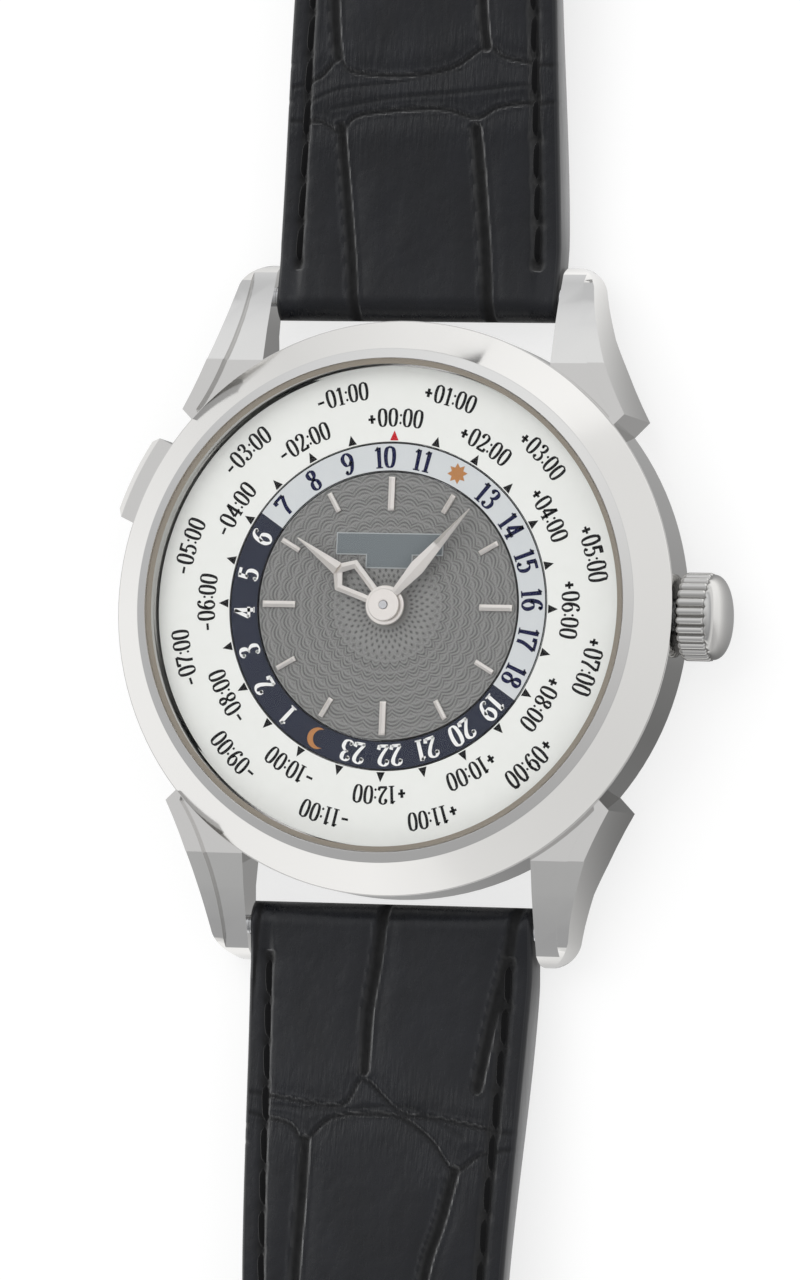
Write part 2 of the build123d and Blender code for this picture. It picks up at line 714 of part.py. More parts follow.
# Bridges on the back of the movement, with feet down to the main plate near the rim
with BuildPart() as barrel_bridge:
    with BuildSketch(Plane.XY.offset(bridge_bottom_level)):
        bridge_outline(1)
    extrude(amount=bridge_top_level - bridge_bottom_level)
    for start, span in barrel_foot_angles:
        bridge_foot(start, span)
    bearing_holes([barrel_place], barrel_arbor_radius)
    bearing_holes([crown_wheel_place], crown_wheel_hub_radius)
finish(barrel_bridge, "barrel_bridge")

with BuildPart() as train_bridge:
    with BuildSketch(Plane.XY.offset(bridge_bottom_level)):
        bridge_outline(-1)
        with Locations(Location(cock_middle, cock_foot_direction)):
            SlotCenterToCenter(cock_foot_distance, 2 * (cock_radius + bridge_gap), mode=Mode.SUBTRACT)
    extrude(amount=bridge_top_level - bridge_bottom_level)
    for start, span in train_foot_angles:
        bridge_foot(start, span)
    bearing_holes((centre_place, third_place, fourth_place, escape_place), arbor_radius)
finish(train_bridge, "train_bridge")

with BuildPart() as balance_cock:
    with BuildSketch(Plane.XY.offset(cock_bottom_level)):
        with Locations(Location(cock_middle, cock_foot_direction)):
            SlotCenterToCenter(cock_foot_distance, 2 * cock_radius)
    extrude(amount=cock_thickness)
    disc(cock_foot_place, cock_radius, cock_bottom_level + cock_thickness, plate_bottom_level)
    disc(stud_place, stud_radius, cock_bottom_level + cock_thickness, hairspring_level + hairspring_height)
    bearing_holes([balance_place], arbor_radius, cock_bottom_level, cock_bottom_level + cock_thickness)
finish(balance_cock, "balance_cock")

with BuildPart() as pallet_cock:
    with BuildSketch(Plane.XY.offset(pallet_cock_bottom_level)):
        with Locations(Location(pallet_cock_middle, pallet_cock_foot_direction)):
            SlotCenterToCenter(pallet_cock_foot_distance, 2 * pallet_cock_radius)
    extrude(amount=pallet_cock_top_level - pallet_cock_bottom_level)
    disc(pallet_foot_place, pallet_cock_radius, pallet_cock_top_level, plate_bottom_level)
    bearing_holes([pallet_place], arbor_radius, pallet_cock_bottom_level, pallet_cock_top_level)
finish(pallet_cock, "pallet_cock")

# Going train
arbor_low_level = bridge_bottom_level + seat_clearance
arbor_high_level = plate_bottom_level - seat_clearance

centre_phase = 0
centre_pinion_phase = 0
barrel_phase = phase_in_mesh(centre_pinion_teeth, centre_pinion_phase, barrel_teeth, barrel_angle)
third_phase = phase_in_mesh(centre_wheel_teeth, centre_phase, third_pinion_teeth, third_angle)
escape_phase = phase_in_mesh(fourth_wheel_teeth, centre_phase, escape_pinion_teeth, escape_angle)
crown_wheel_phase = phase_in_mesh(ratchet_teeth, centre_phase, crown_wheel_teeth, crown_wheel_angle)
minute_wheel_phase = phase_in_mesh(cannon_teeth, centre_phase, minute_wheel_teeth, 0)
hour_wheel_phase = phase_in_mesh(minute_pinion_teeth, centre_phase, hour_wheel_teeth, 180)

with BuildPart() as barrel:
    disc(barrel_place, barrel_drum_radius, barrel_bottom_level, barrel_top_level)
    toothed_disc(barrel_place, barrel_teeth, barrel_pitch_radius, barrel_phase, barrel_rim_level,
                 barrel_rim_level + barrel_rim_height)
    disc(barrel_place, barrel_arbor_radius + running_clearance, barrel_bottom_level, barrel_top_level,
         mode=Mode.SUBTRACT)
finish(barrel, "barrel")

with BuildPart() as barrel_arbor:
    disc(barrel_place, barrel_arbor_radius, ratchet_level, arbor_high_level)
finish(barrel_arbor, "barrel_arbor")

with BuildPart() as centre_wheel:
    toothed_disc(centre_place, centre_wheel_teeth, centre_pitch_radius, centre_phase, centre_wheel_level,
                 centre_wheel_level + rim_thickness)
    spoke_windows(centre_place, 2 * centre_pinion_pitch_radius, 0.84 * centre_pitch_radius, 5,
                  2 * centre_arbor_radius, centre_wheel_level, centre_wheel_level + rim_thickness)
    toothed_disc(centre_place, centre_pinion_teeth, centre_pinion_pitch_radius, centre_pinion_phase,
                 barrel_rim_level - seat_clearance, centre_wheel_level)
    disc(centre_place, arbor_radius, arbor_low_level, bridge_top_level + seat_clearance)
    disc(centre_place, centre_arbor_radius, bridge_top_level + seat_clearance, minute_hand_level - rim_thickness)
finish(centre_wheel, "centre_wheel")

with BuildPart() as third_wheel:
    toothed_disc(third_place, third_wheel_teeth, third_rim_radius, third_phase, third_wheel_level,
                 third_wheel_level + rim_thickness)
    spoke_windows(third_place, 2 * third_pinion_pitch_radius, 0.84 * third_rim_radius, 4,
                  2 * arbor_radius, third_wheel_level, third_wheel_level + rim_thickness)
    toothed_disc(third_place, third_pinion_teeth, third_pinion_pitch_radius, third_phase,
                 third_wheel_level + rim_thickness, plate_bottom_level - seat_clearance)
    disc(third_place, arbor_radius, arbor_low_level, arbor_high_level)
finish(third_wheel, "third_wheel")

with BuildPart() as fourth_wheel:
    toothed_disc(fourth_place, fourth_wheel_teeth, fourth_pitch_radius, centre_phase, fourth_wheel_level,
                 fourth_wheel_level + rim_thickness)
    spoke_windows(fourth_place, 3 * arbor_radius, 0.84 * fourth_pitch_radius, 4, 2 * arbor_radius,
                  fourth_wheel_level, fourth_wheel_level + rim_thickness)
    disc(fourth_place, fourth_pinion_radius, third_wheel_level - seat_clearance, fourth_wheel_level)
    disc(fourth_place, arbor_radius, arbor_low_level, arbor_high_level)
finish(fourth_wheel, "fourth_wheel")

with BuildPart() as escape_wheel:
    with BuildSketch(Plane.XY.offset(escape_level)):
        with Locations(escape_place):
            points = []
            tooth_step = 360 / escape_teeth
            for tooth in range(escape_teeth):
                tooth_angle = tooth * tooth_step
                points.append(polar(escape_radius, tooth_angle))
                points.append(polar(escape_root_radius, tooth_angle + tooth_step / 4))
                points.append(polar(escape_root_radius, tooth_angle + 0.7 * tooth_step))
            Polygon(*points, align=None)
    extrude(amount=rim_thickness)
    spoke_windows(escape_place, 2 * escape_pinion_pitch_radius, 0.84 * escape_root_radius, 4, arbor_radius,
                  escape_level, escape_level + rim_thickness)
    toothed_disc(escape_place, escape_pinion_teeth, escape_pinion_pitch_radius, escape_phase,
                 fourth_wheel_level - seat_clearance, plate_bottom_level - seat_clearance)
    disc(escape_place, arbor_radius, arbor_low_level, arbor_high_level)
finish(escape_wheel, "escape_wheel")

# Pallet fork: a lever from its arbor to the roller, with two arms beside the escape wheel
fork_length = balance_distance - pallet_distance - impulse_pin_offset - 2.5 * impulse_pin_radius
arm_reach = escape_radius + arbor_radius + seat_clearance
with BuildPart() as pallet_fork:
    with BuildSketch(Plane.XY.offset(pallet_cock_top_level + impulse_pin_radius)):
        with Locations(pallet_place):
            Circle(2 * arbor_radius)
        with Locations(Location(pallet_place, balance_angle)):
            Rectangle(fork_length, 1.4 * arbor_radius, align=(Align.MIN, Align.CENTER))
        with Locations(Location(polar(fork_length, balance_angle, pallet_place), balance_angle)):
            Rectangle(3 * arbor_radius, 3.6 * arbor_radius, align=(Align.MAX, Align.CENTER))
            Rectangle(1.8 * arbor_radius, arbor_radius, align=(Align.MAX, Align.CENTER), mode=Mode.SUBTRACT)
        for side in (-32, 32):
            stone = polar(arm_reach, balance_angle + side, escape_place)
            reach = hypot(stone[0] - pallet_place[0], stone[1] - pallet_place[1])
            heading = degrees(atan2(stone[1] - pallet_place[1], stone[0] - pallet_place[0]))
            with Locations(Location(pallet_place, heading)):
                Rectangle(reach, 1.5 * arbor_radius, align=(Align.MIN, Align.CENTER))
    extrude(amount=rim_thickness)
    disc(pallet_place, arbor_radius, pallet_cock_bottom_level + running_clearance, arbor_high_level)
finish(pallet_fork, "pallet_fork")

with BuildPart() as balance_wheel:
    disc(balance_place, balance_radius, balance_level, balance_level + balance_rim_height,
         hole=balance_radius - balance_rim_width)
    with BuildSketch(Plane.XY.offset(balance_level)):
        with Locations(Location(balance_place, cock_foot_direction + 90)):
            Rectangle(2 * balance_radius - balance_rim_width, 2 * arbor_radius)
    extrude(amount=balance_rim_height)
    roller_level = balance_level + balance_rim_height
    disc(balance_place, roller_radius, roller_level + seat_clearance, roller_level + rim_thickness)
    disc(polar(impulse_pin_offset, balance_angle + 180, balance_place), impulse_pin_radius,
         roller_level + rim_thickness, pallet_cock_top_level + impulse_pin_radius + rim_thickness)
    disc(balance_place, arbor_radius, cock_bottom_level + seat_clearance, arbor_high_level)
finish(balance_wheel, "balance_wheel")

# Hairspring: a flat strip wound in half turns. Each half turn's radius is half a pitch larger than the
# one before, and its centre lies a quarter pitch from the balance axis, on alternate sides.
def half_turns(side_offset):
    """The start, middle and end of each half turn along one edge of the strip."""
    arcs = []
    for half in range(2 * hairspring_turns):
        sign = 1 - 2 * (half % 2)
        reach = sign * (hairspring_start_radius + hairspring_pitch * (1 + 2 * half) / 4 + side_offset)
        centre = polar(-sign * hairspring_pitch / 4, cock_foot_direction, balance_place)
        arcs.append([polar(reach, cock_foot_direction + turn, centre) for turn in (0, 90, 180)])
    return arcs


with BuildPart() as hairspring:
    with BuildSketch(Plane.XY.offset(hairspring_level)):
        with BuildLine():
            inner_arcs = half_turns(-hairspring_width / 2)
            outer_arcs = half_turns(hairspring_width / 2)
            for points in (*inner_arcs, *outer_arcs):
                ThreePointArc(*points)
            Line(inner_arcs[0][0], outer_arcs[0][0])
            Line(inner_arcs[-1][-1], outer_arcs[-1][-1])
        make_face()
    extrude(amount=hairspring_height)
finish(hairspring, "hairspring")
print("hairspring gap between turns", round(hairspring_pitch - hairspring_width, 3))

# Winding wheels on the barrel bridge
with BuildPart() as ratchet_wheel:
    toothed_disc(barrel_place, ratchet_teeth, ratchet_pitch_radius, centre_phase, ratchet_level,
                 ratchet_level + ratchet_height)
    disc(barrel_place, barrel_arbor_radius + running_clearance / 3, ratchet_level,
         ratchet_level + ratchet_height, mode=Mode.SUBTRACT)
finish(ratchet_wheel, "ratchet_wheel")

with BuildPart() as crown_wheel:
    toothed_disc(crown_wheel_place, crown_wheel_teeth, crown_wheel_pitch_radius, crown_wheel_phase,
                 ratchet_level, ratchet_level + ratchet_height)
    disc(crown_wheel_place, crown_wheel_hub_radius, ratchet_level + ratchet_height,
         bridge_top_level - seat_clearance)
finish(crown_wheel, "crown_wheel")

# Off-centre winding rotor: a half disc with a heavy rim, on a post of the main plate
with BuildPart() as rotor_post:
    disc(rotor_place, rotor_post_radius, rotor_bottom_level, plate_bottom_level)
finish(rotor_post, "rotor_post")

with BuildPart() as rotor:
    with BuildSketch(Plane.XY.offset(rotor_bottom_level)):
        with Locations(rotor_place):
            Circle(rotor_radius)
        with Locations(Location(rotor_place, rotor_start_angle)):
            Rectangle(2 * rotor_radius, 2 * rotor_radius, align=(Align.MIN, Align.CENTER), mode=Mode.SUBTRACT)
    extrude(amount=rotor_web_thickness)
    with BuildSketch(Plane.XY.offset(rotor_bottom_level + rotor_web_thickness)):
        with Locations(rotor_place):
            Circle(rotor_radius)
            Circle(rotor_radius - rotor_rim_width, mode=Mode.SUBTRACT)
        with Locations(Location(rotor_place, rotor_start_angle)):
            Rectangle(2 * rotor_radius, 2 * rotor_radius, align=(Align.MIN, Align.CENTER), mode=Mode.SUBTRACT)
    extrude(amount=rotor_top_level - rotor_bottom_level - rotor_web_thickness)
    disc(rotor_place, rotor_hub_radius, rotor_bottom_level, rotor_top_level)
    disc(rotor_place, rotor_post_radius + running_clearance, rotor_bottom_level, rotor_top_level,
         mode=Mode.SUBTRACT)
finish(rotor, "rotor")

# Motion work under the dial: cannon pinion to minute wheel, minute pinion to hour wheel
with BuildPart() as cannon_pinion:
    cannon_base_level = motion_pocket_level + seat_clearance
    toothed_disc(centre_place, cannon_teeth, cannon_pitch_radius, centre_phase, cannon_base_level,
                 cannon_base_level + cannon_teeth_height)
    disc(centre_place, cannon_radius, cannon_base_level + cannon_teeth_height, minute_hand_level)
    disc(centre_place, cannon_tip_radius - running_clearance / 3, minute_hand_level,
         minute_hand_level + minute_hand_thickness + running_clearance)
    disc(centre_place, cannon_bore_radius, cannon_base_level, minute_hand_level - rim_thickness,
         mode=Mode.SUBTRACT)
finish(cannon_pinion, "cannon_pinion")

with BuildPart() as minute_wheel:
    minute_wheel_level = cannon_base_level + 2 * seat_clearance
    toothed_disc(minute_wheel_place, minute_wheel_teeth, minute_wheel_pitch_radius, minute_wheel_phase,
                 minute_wheel_level, minute_wheel_level + rim_thickness)
    toothed_disc(minute_wheel_place, minute_pinion_teeth, minute_pinion_pitch_radius, centre_phase,
                 minute_wheel_level + rim_thickness, plate_top_level - 2 * seat_clearance)
    disc(minute_wheel_place, arbor_radius + running_clearance, minute_wheel_level, plate_top_level,
         mode=Mode.SUBTRACT)
finish(minute_wheel, "minute_wheel")

with BuildPart() as hour_wheel:
    toothed_disc(centre_place, hour_wheel_teeth, hour_wheel_pitch_radius, hour_wheel_phase, hour_wheel_level,
                 hour_wheel_level + rim_thickness)
    disc(centre_place, hour_pipe_radius - running_clearance / 3, hour_wheel_level,
         hour_hand_level + hour_hand_thickness)
    disc(centre_place, cannon_radius + running_clearance, hour_wheel_level,
         hour_hand_level + hour_hand_thickness, mode=Mode.SUBTRACT)
finish(hour_wheel, "hour_wheel")

# Crown side. The stem slides in the square hole of the winding pinion and turns with it.
crown_axis = Axis((0, 0, crown_axis_level), (1, 0, 0))


def across_stem(distance):
    """The plane square to the winding stem at this distance from the case axis."""
    return Plane(origin=(distance, 0, crown_axis_level), x_dir=(0, 1, 0), z_dir=(1, 0, 0))


with BuildPart() as crown_tube:
    with BuildSketch(across_stem(tube_inner_distance)):
        Circle(tube_radius)
        Circle(tube_bore_radius, mode=Mode.SUBTRACT)
    extrude(amount=tube_outer_distance - tube_inner_distance)
finish(crown_tube, "crown_tube")

with BuildPart() as crown:
    with BuildSketch(across_stem(crown_start_distance)):
        points = []
        flute_step = 360 / crown_flute_count
        for flute in range(crown_flute_count):
            for share, depth in ((-0.28, 0), (0.28, 0), (0.5, crown_flute_depth)):
                points.append(polar(crown_radius - depth, (flute + share) * flute_step))
        Polygon(*points, align=None)
    extrude(amount=crown_knurl_length)
    with BuildSketch(Plane.XZ):
        with BuildLine():
            shoulder = (crown_shoulder_distance, crown_axis_level + crown_radius - crown_bevel)
            crest = (crown_end_distance, crown_axis_level + crown_end_radius)
            dome_middle = ((shoulder[0] + crest[0]) / 2 + crown_bevel, (shoulder[1] + crest[1]) / 2 + crown_bevel)
            Polyline(shoulder, dome_middle, crest, (crown_end_distance, crown_axis_level),
                     (crown_shoulder_distance, crown_axis_level), shoulder)
        make_face()
    revolve(axis=crown_axis)
    with BuildSketch(across_stem(crown_start_distance)):
        Circle(tube_radius + crown_bore_clearance)
    extrude(amount=crown_bore_depth, mode=Mode.SUBTRACT)
    with BuildSketch(across_stem(crown_start_distance + crown_bore_depth)):
        Circle(stem_radius + running_clearance / 3)
    extrude(amount=stem_hold_length, mode=Mode.SUBTRACT)
finish(crown, "crown")

with BuildPart() as winding_stem:
    with BuildSketch(across_stem(stem_square_end_distance)):
        Rectangle(stem_square_width, stem_square_width)
    extrude(amount=stem_square_start_distance - stem_square_end_distance)
    with BuildSketch(across_stem(stem_square_start_distance)):
        Circle(stem_radius)
    extrude(amount=crown_start_distance + crown_bore_depth + stem_hold_length - stem_square_start_distance)
finish(winding_stem, "winding_stem")

with BuildPart() as winding_pinion:
    with BuildSketch(across_stem(winding_pinion_distance)):
        toothed_face(winding_pinion_teeth, winding_pinion_pitch_radius)
        Rectangle(stem_square_width + 2 * running_clearance, stem_square_width + 2 * running_clearance,
                  mode=Mode.SUBTRACT)
    extrude(amount=winding_pinion_length)
finish(winding_pinion, "winding_pinion")

# Pusher: its outer face follows the case, and its back end runs in a pocket of the flank
with BuildPart() as pusher:
    with BuildSketch(pusher_plane.offset(pusher_back_radius - pusher_bore_floor_radius)):
        Rectangle(pusher_width, pusher_height)
    extrude(amount=pusher_face_radius - pusher_back_radius)
    with BuildSketch(Plane.XY):
        Circle(pusher_face_radius)
    extrude(amount=case_thickness, mode=Mode.INTERSECT)
    outer_face = max(pusher.faces().filter_by(GeomType.CYLINDER), key=lambda face: face.radius)
    chamfer(outer_face.edges(), pusher_bevel)
    with BuildSketch(pusher_plane.offset(pusher_stem_end_radius - pusher_bore_floor_radius)):
        Circle(pusher_stem_radius)
    extrude(amount=pusher_back_radius - pusher_stem_end_radius)
finish(pusher, "pusher")

with BuildPart() as pusher_spring:
    with BuildSketch(pusher_plane.offset(pusher_spring_inner_end_radius - pusher_bore_floor_radius)):
        Circle(pusher_spring_radius)
        Circle(pusher_spring_radius - pusher_spring_wall, mode=Mode.SUBTRACT)
    extrude(amount=pusher_back_radius - pusher_spring_inner_end_radius)
finish(pusher_spring, "pusher_spring")


# Straps. Each half swings about its spring bar between the lugs and lies in a low arch.
def spring_bar(side):
    """A bar from lug to lug."""
    with BuildSketch(across(lug_gap / 2 + bar_end_length)) as section:
        with Locations((side * bar_distance, bar_level)):
            Circle(bar_radius)
    extrude(section.sketch, amount=lug_gap + 2 * bar_end_length)


with BuildPart() as spring_bar_12:
    spring_bar(1)
finish(spring_bar_12, "spring_bar_12")

with BuildPart() as spring_bar_6:
    spring_bar(-1)
finish(spring_bar_6, "spring_bar_6")


def strap_body(side, arch_length, top_shares, bottom_shares, flat_top_level, flat_bottom_level, reach):
    """Half a strap: an eye about its spring bar, an arch, then a flat run to its end."""
    eye_top = (side * bar_distance, bar_level + strap_eye_radius)
    eye_bottom = (side * bar_distance, bar_level - strap_eye_radius)
    top = [(side * (bar_distance + arch_length * a), strap_crest_level * b) for a, b in top_shares]
    bottom = [(side * (bar_distance + arch_length * a), strap_crest_level * b) for a, b in bottom_shares]
    flat_start = side * (bar_distance + arch_length)
    with BuildSketch(across(strap_lug_width / 2)) as side_view:
        with BuildLine():
            Spline(eye_top, *top, (flat_start, flat_top_level), tangents=[(side, 0), (side, 0)])
            Polyline((flat_start, flat_top_level), (side * reach, flat_top_level),
                     (side * reach, flat_bottom_level), (flat_start, flat_bottom_level))
            Spline(eye_bottom, *bottom, (flat_start, flat_bottom_level), tangents=[(side, 0), (side, 0)])
            ThreePointArc(eye_bottom, (side * (bar_distance - strap_eye_radius), bar_level), eye_top)
        make_face()
        with Locations((side * bar_distance, bar_level)):
            Circle(bar_radius + seat_clearance, mode=Mode.SUBTRACT)
    extrude(side_view.sketch, amount=strap_lug_width)


def strap_plan(side, tip_start, reach):
    """The strap seen from above, tapering from the lugs to its end."""
    start = side * (bar_distance - strap_eye_radius - overrun)
    narrow = strap_end_width / 2
    extra = strap_lug_width / 2 - narrow
    taper = [(narrow + extra * b, side * (bar_distance + strap_taper_length * a)) for a, b in strap_taper_shares]
    right = [(strap_lug_width / 2, start), *taper, (narrow, side * tip_start)]
    left = [(-across, along) for across, along in reversed(right)]
    with BuildSketch(Plane.XY) as plan:
        with BuildLine():
            Polyline(*left, *right)
            if reach > tip_start:
                for sign in (1, -1):
                    tip = shared(strap_tip_shares, sign * narrow, side * (reach - tip_start))
                    tip = [(across, side * tip_start + along) for across, along in tip]
                    ThreePointArc((sign * narrow, side * tip_start), *tip, (0, side * reach))
            else:
                Line(right[-1], left[0])
        make_face()
    extrude(plan.sketch, amount=2 * strap_crest_level, mode=Mode.INTERSECT)


with BuildPart() as strap_short:
    short_flat_top_level = buckle_bar_level + buckle_eye_radius
    short_flat_bottom_level = buckle_bar_level - buckle_eye_radius
    strap_body(1, short_arch_length, short_top_shares, short_bottom_shares, short_flat_top_level,
               short_flat_bottom_level, buckle_bar_distance)
    strap_plan(1, buckle_bar_distance, buckle_bar_distance)
    # round end about the buckle bar, with a slot for the tongue
    with BuildSketch(across(strap_end_width / 2)):
        with Locations((buckle_bar_distance, buckle_bar_level)):
            Circle(buckle_eye_radius)
    extrude(amount=strap_end_width)
    with BuildSketch(across(strap_end_width / 2)):
        with Locations((buckle_bar_distance, buckle_bar_level)):
            Circle(buckle_bar_radius + seat_clearance)
    extrude(amount=strap_end_width, mode=Mode.SUBTRACT)
    with BuildSketch(Plane.XY):
        with Locations((0, buckle_bar_distance - tongue_slot_length)):
            Rectangle(tongue_width + 2 * tongue_slot_clearance, 2 * tongue_slot_length,
                      align=(Align.CENTER, Align.MIN))
    extrude(amount=strap_crest_level, mode=Mode.SUBTRACT)
finish(strap_short, "strap_short")

with BuildPart() as strap_long:
    long_reach = bar_distance + long_strap_length
    strap_body(-1, long_arch_length, long_top_shares, long_bottom_shares, long_strap_thickness, 0, long_reach)
    strap_plan(-1, long_reach - strap_tip_length, long_reach)
    with BuildSketch(Plane.XY):
        for hole in range(strap_hole_count):
            with Locations((0, strap_first_hole + hole * strap_hole_pitch - long_reach)):
                Circle(strap_hole_radius)
    extrude(amount=2 * strap_crest_level, mode=Mode.SUBTRACT)
finish(strap_long, "strap_long")


def keeper_loop(distance):
    """A leather loop round the strap, with room inside for the other end."""
    with BuildSketch(Plane.XZ.offset(-distance - keeper_length / 2)) as loop:
        with Locations((0, running_clearance + keeper_height / 2)):
            RectangleRounded(strap_end_width + 2 * (keeper_gap + keeper_wall), keeper_height, keeper_corner)
            Rectangle(strap_end_width + 2 * keeper_gap, keeper_height - 2 * keeper_wall, mode=Mode.SUBTRACT)
    extrude(loop.sketch, amount=keeper_length)


with BuildPart() as fixed_keeper:
    keeper_loop(fixed_keeper_distance)
finish(fixed_keeper, "fixed_keeper")

with BuildPart() as free_keeper:
    keeper_loop(free_keeper_distance)
finish(free_keeper, "free_keeper")

# Pin buckle: the frame and its bar turn in the end of the short strap
with BuildPart() as buckle_frame:
    with BuildSketch(across(buckle_inner_width / 2 + buckle_arm_width)):
        with BuildLine():
            bar_top = (buckle_bar_distance, buckle_bar_level + buckle_thickness / 2)
            bar_bottom = (buckle_bar_distance, buckle_bar_level - buckle_thickness / 2)
            front_inner_distance = buckle_front_distance - buckle_front_width
            Polyline(bar_top, (front_inner_distance, buckle_front_top_level),
                     (buckle_front_distance - buckle_inner_corner, buckle_front_top_level),
                     (buckle_front_distance, buckle_front_top_level - buckle_inner_corner),
                     (buckle_front_distance, 0), (front_inner_distance, 0), bar_bottom)
            ThreePointArc(bar_bottom, (buckle_bar_distance - buckle_thickness / 2, buckle_bar_level), bar_top)
        make_face()
    extrude(amount=buckle_inner_width + 2 * buckle_arm_width)
    with BuildSketch(Plane.XY) as frame_plan:
        with Locations((0, buckle_front_distance)):
            Rectangle(buckle_inner_width + 2 * buckle_arm_width, buckle_length + buckle_thickness,
                      align=(Align.CENTER, Align.MAX))
        fillet(frame_plan.vertices().group_by(Axis.Y)[-1], buckle_corner)
    extrude(amount=buckle_bar_level + buckle_thickness, mode=Mode.INTERSECT)
    with BuildSketch(Plane.XY) as frame_opening:
        with Locations((0, front_inner_distance)):
            Rectangle(buckle_inner_width, buckle_length + buckle_thickness, align=(Align.CENTER, Align.MAX))
        fillet(frame_opening.vertices().group_by(Axis.Y)[-1], buckle_inner_corner)
    extrude(amount=buckle_bar_level + buckle_thickness, mode=Mode.SUBTRACT)
    with BuildSketch(across((buckle_inner_width + buckle_arm_width) / 2 + seat_clearance)):
        with Locations((buckle_bar_distance, buckle_bar_level)):
            Circle(buckle_bar_radius + running_clearance / 3)
    extrude(amount=buckle_inner_width + buckle_arm_width + 2 * seat_clearance, mode=Mode.SUBTRACT)
finish(buckle_frame, "buckle_frame")

with BuildPart() as buckle_bar:
    with BuildSketch(across((buckle_inner_width + buckle_arm_width) / 2)):
        with Locations((buckle_bar_distance, buckle_bar_level)):
            Circle(buckle_bar_radius)
    extrude(amount=buckle_inner_width + buckle_arm_width)
finish(buckle_bar, "buckle_bar")

with BuildPart() as buckle_tongue:
    with BuildSketch(across(tongue_width / 2)):
        with Locations((buckle_bar_distance, buckle_bar_level)):
            Circle(buckle_eye_radius)
        with Locations((buckle_bar_distance, buckle_front_top_level + seat_clearance)):
            Rectangle(buckle_length + tongue_overhang, tongue_thickness, align=(Align.MIN, Align.MIN))
        with Locations((buckle_bar_distance, buckle_bar_level)):
            Circle(buckle_bar_radius + seat_clearance, mode=Mode.SUBTRACT)
    extrude(amount=tongue_width)
    fillet(buckle_tongue.edges().filter_by(Axis.Z).group_by(Axis.Y)[-1], tongue_corner)
finish(buckle_tongue, "buckle_tongue")
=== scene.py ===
import math

import bmesh
import bpy
import numpy as np
from mathutils import Matrix, Vector


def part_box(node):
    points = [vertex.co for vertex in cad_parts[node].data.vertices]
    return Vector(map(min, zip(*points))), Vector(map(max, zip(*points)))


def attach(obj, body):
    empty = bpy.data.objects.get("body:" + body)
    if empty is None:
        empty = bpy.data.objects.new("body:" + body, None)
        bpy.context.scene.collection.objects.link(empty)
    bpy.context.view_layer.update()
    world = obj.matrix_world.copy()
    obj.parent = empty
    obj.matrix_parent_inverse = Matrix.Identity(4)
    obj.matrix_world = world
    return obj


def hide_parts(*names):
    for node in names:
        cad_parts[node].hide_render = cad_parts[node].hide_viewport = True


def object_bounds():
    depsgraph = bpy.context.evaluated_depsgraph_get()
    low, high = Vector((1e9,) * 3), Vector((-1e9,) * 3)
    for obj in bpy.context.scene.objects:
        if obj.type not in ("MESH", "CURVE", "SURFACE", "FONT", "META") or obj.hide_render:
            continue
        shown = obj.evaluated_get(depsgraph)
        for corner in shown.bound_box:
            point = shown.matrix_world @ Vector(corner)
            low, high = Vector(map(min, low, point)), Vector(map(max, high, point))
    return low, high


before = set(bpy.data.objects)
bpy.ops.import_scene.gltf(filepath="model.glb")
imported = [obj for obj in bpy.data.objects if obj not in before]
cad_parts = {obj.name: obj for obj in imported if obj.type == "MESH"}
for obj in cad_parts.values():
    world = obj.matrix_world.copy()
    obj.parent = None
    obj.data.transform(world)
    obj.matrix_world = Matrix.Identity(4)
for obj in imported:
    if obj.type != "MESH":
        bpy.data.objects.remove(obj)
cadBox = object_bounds()
mm = 0.001
print("frame loaded with", len(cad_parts), "pieces")


# Sizes are in millimetres and angles in degrees, unless a comment says otherwise.
meshRules = {"seam": 0.0004, "cadSeam": 0.002, "flat": 0.6, "cadCrease": 28, "bevelSegments": 2,
             "shadingWeight": 90, "cornerRoom": 0.45, "leastRound": 0.001}


def hexColour(text):
    # sRGB to linear: c / 12.92 when dark, otherwise ((c + 0.055) / 1.055) ^ 2.4
    srgb = np.array([int(text[i:i + 2], 16) for i in (1, 3, 5)]) / 255
    linear = np.where(srgb <= 0.04045, srgb / 12.92, ((srgb + 0.055) / 1.055) ** 2.4)
    return (*linear.tolist(), 1.0)


def addNode(tree, kind, inputs=None, **settings):
    # adds one node, sets its fields, then fills or links its inputs
    node = tree.nodes.new("ShaderNode" + kind)
    for field, value in settings.items():
        setattr(node, field, value)
    for socket, value in (inputs or {}).items():
        if isinstance(value, bpy.types.NodeSocket):
            tree.links.new(value, node.inputs[socket])
        else:
            node.inputs[socket].default_value = value
    return node


def perMm(size):
    # texture scale of a pattern whose features are this many millimetres wide
    return 1 / (size * mm)


def nodeBox(name):
    # lowest and highest corner of a CAD piece, in millimetres
    low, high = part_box(name)
    return np.array(low) / mm, np.array(high) / mm


def gridFaces(rows, columns, closeRows=False, closeColumns=False):
    # one quad between each four neighbours of a grid, wrapping round where a direction is closed
    r = np.arange(rows if closeRows else rows - 1)[:, None]
    c = np.arange(columns if closeColumns else columns - 1)[None, :]
    up, right = (r + 1) % rows, (c + 1) % columns
    corners = np.broadcast_arrays(r * columns + c, r * columns + right, up * columns + right, up * columns + c)
    return np.stack(corners, -1).reshape(-1, 4).tolist()


def tubeFaces(rows, columns):
    # the walls of a tube whose rows are closed sections, and a cap at each end
    last = (rows - 1) * columns
    return gridFaces(rows, columns, False, True) + [list(range(columns)), list(range(last, last + columns))[::-1]]


def gridPoints(x, y, z):
    # the three coordinates of a grid, stretched to one shape, as a list of points
    return np.stack(np.broadcast_arrays(x, y, z), -1).reshape(-1, 3)


def atLevel(outline, level):
    return np.column_stack([outline, np.full(len(outline), level)])


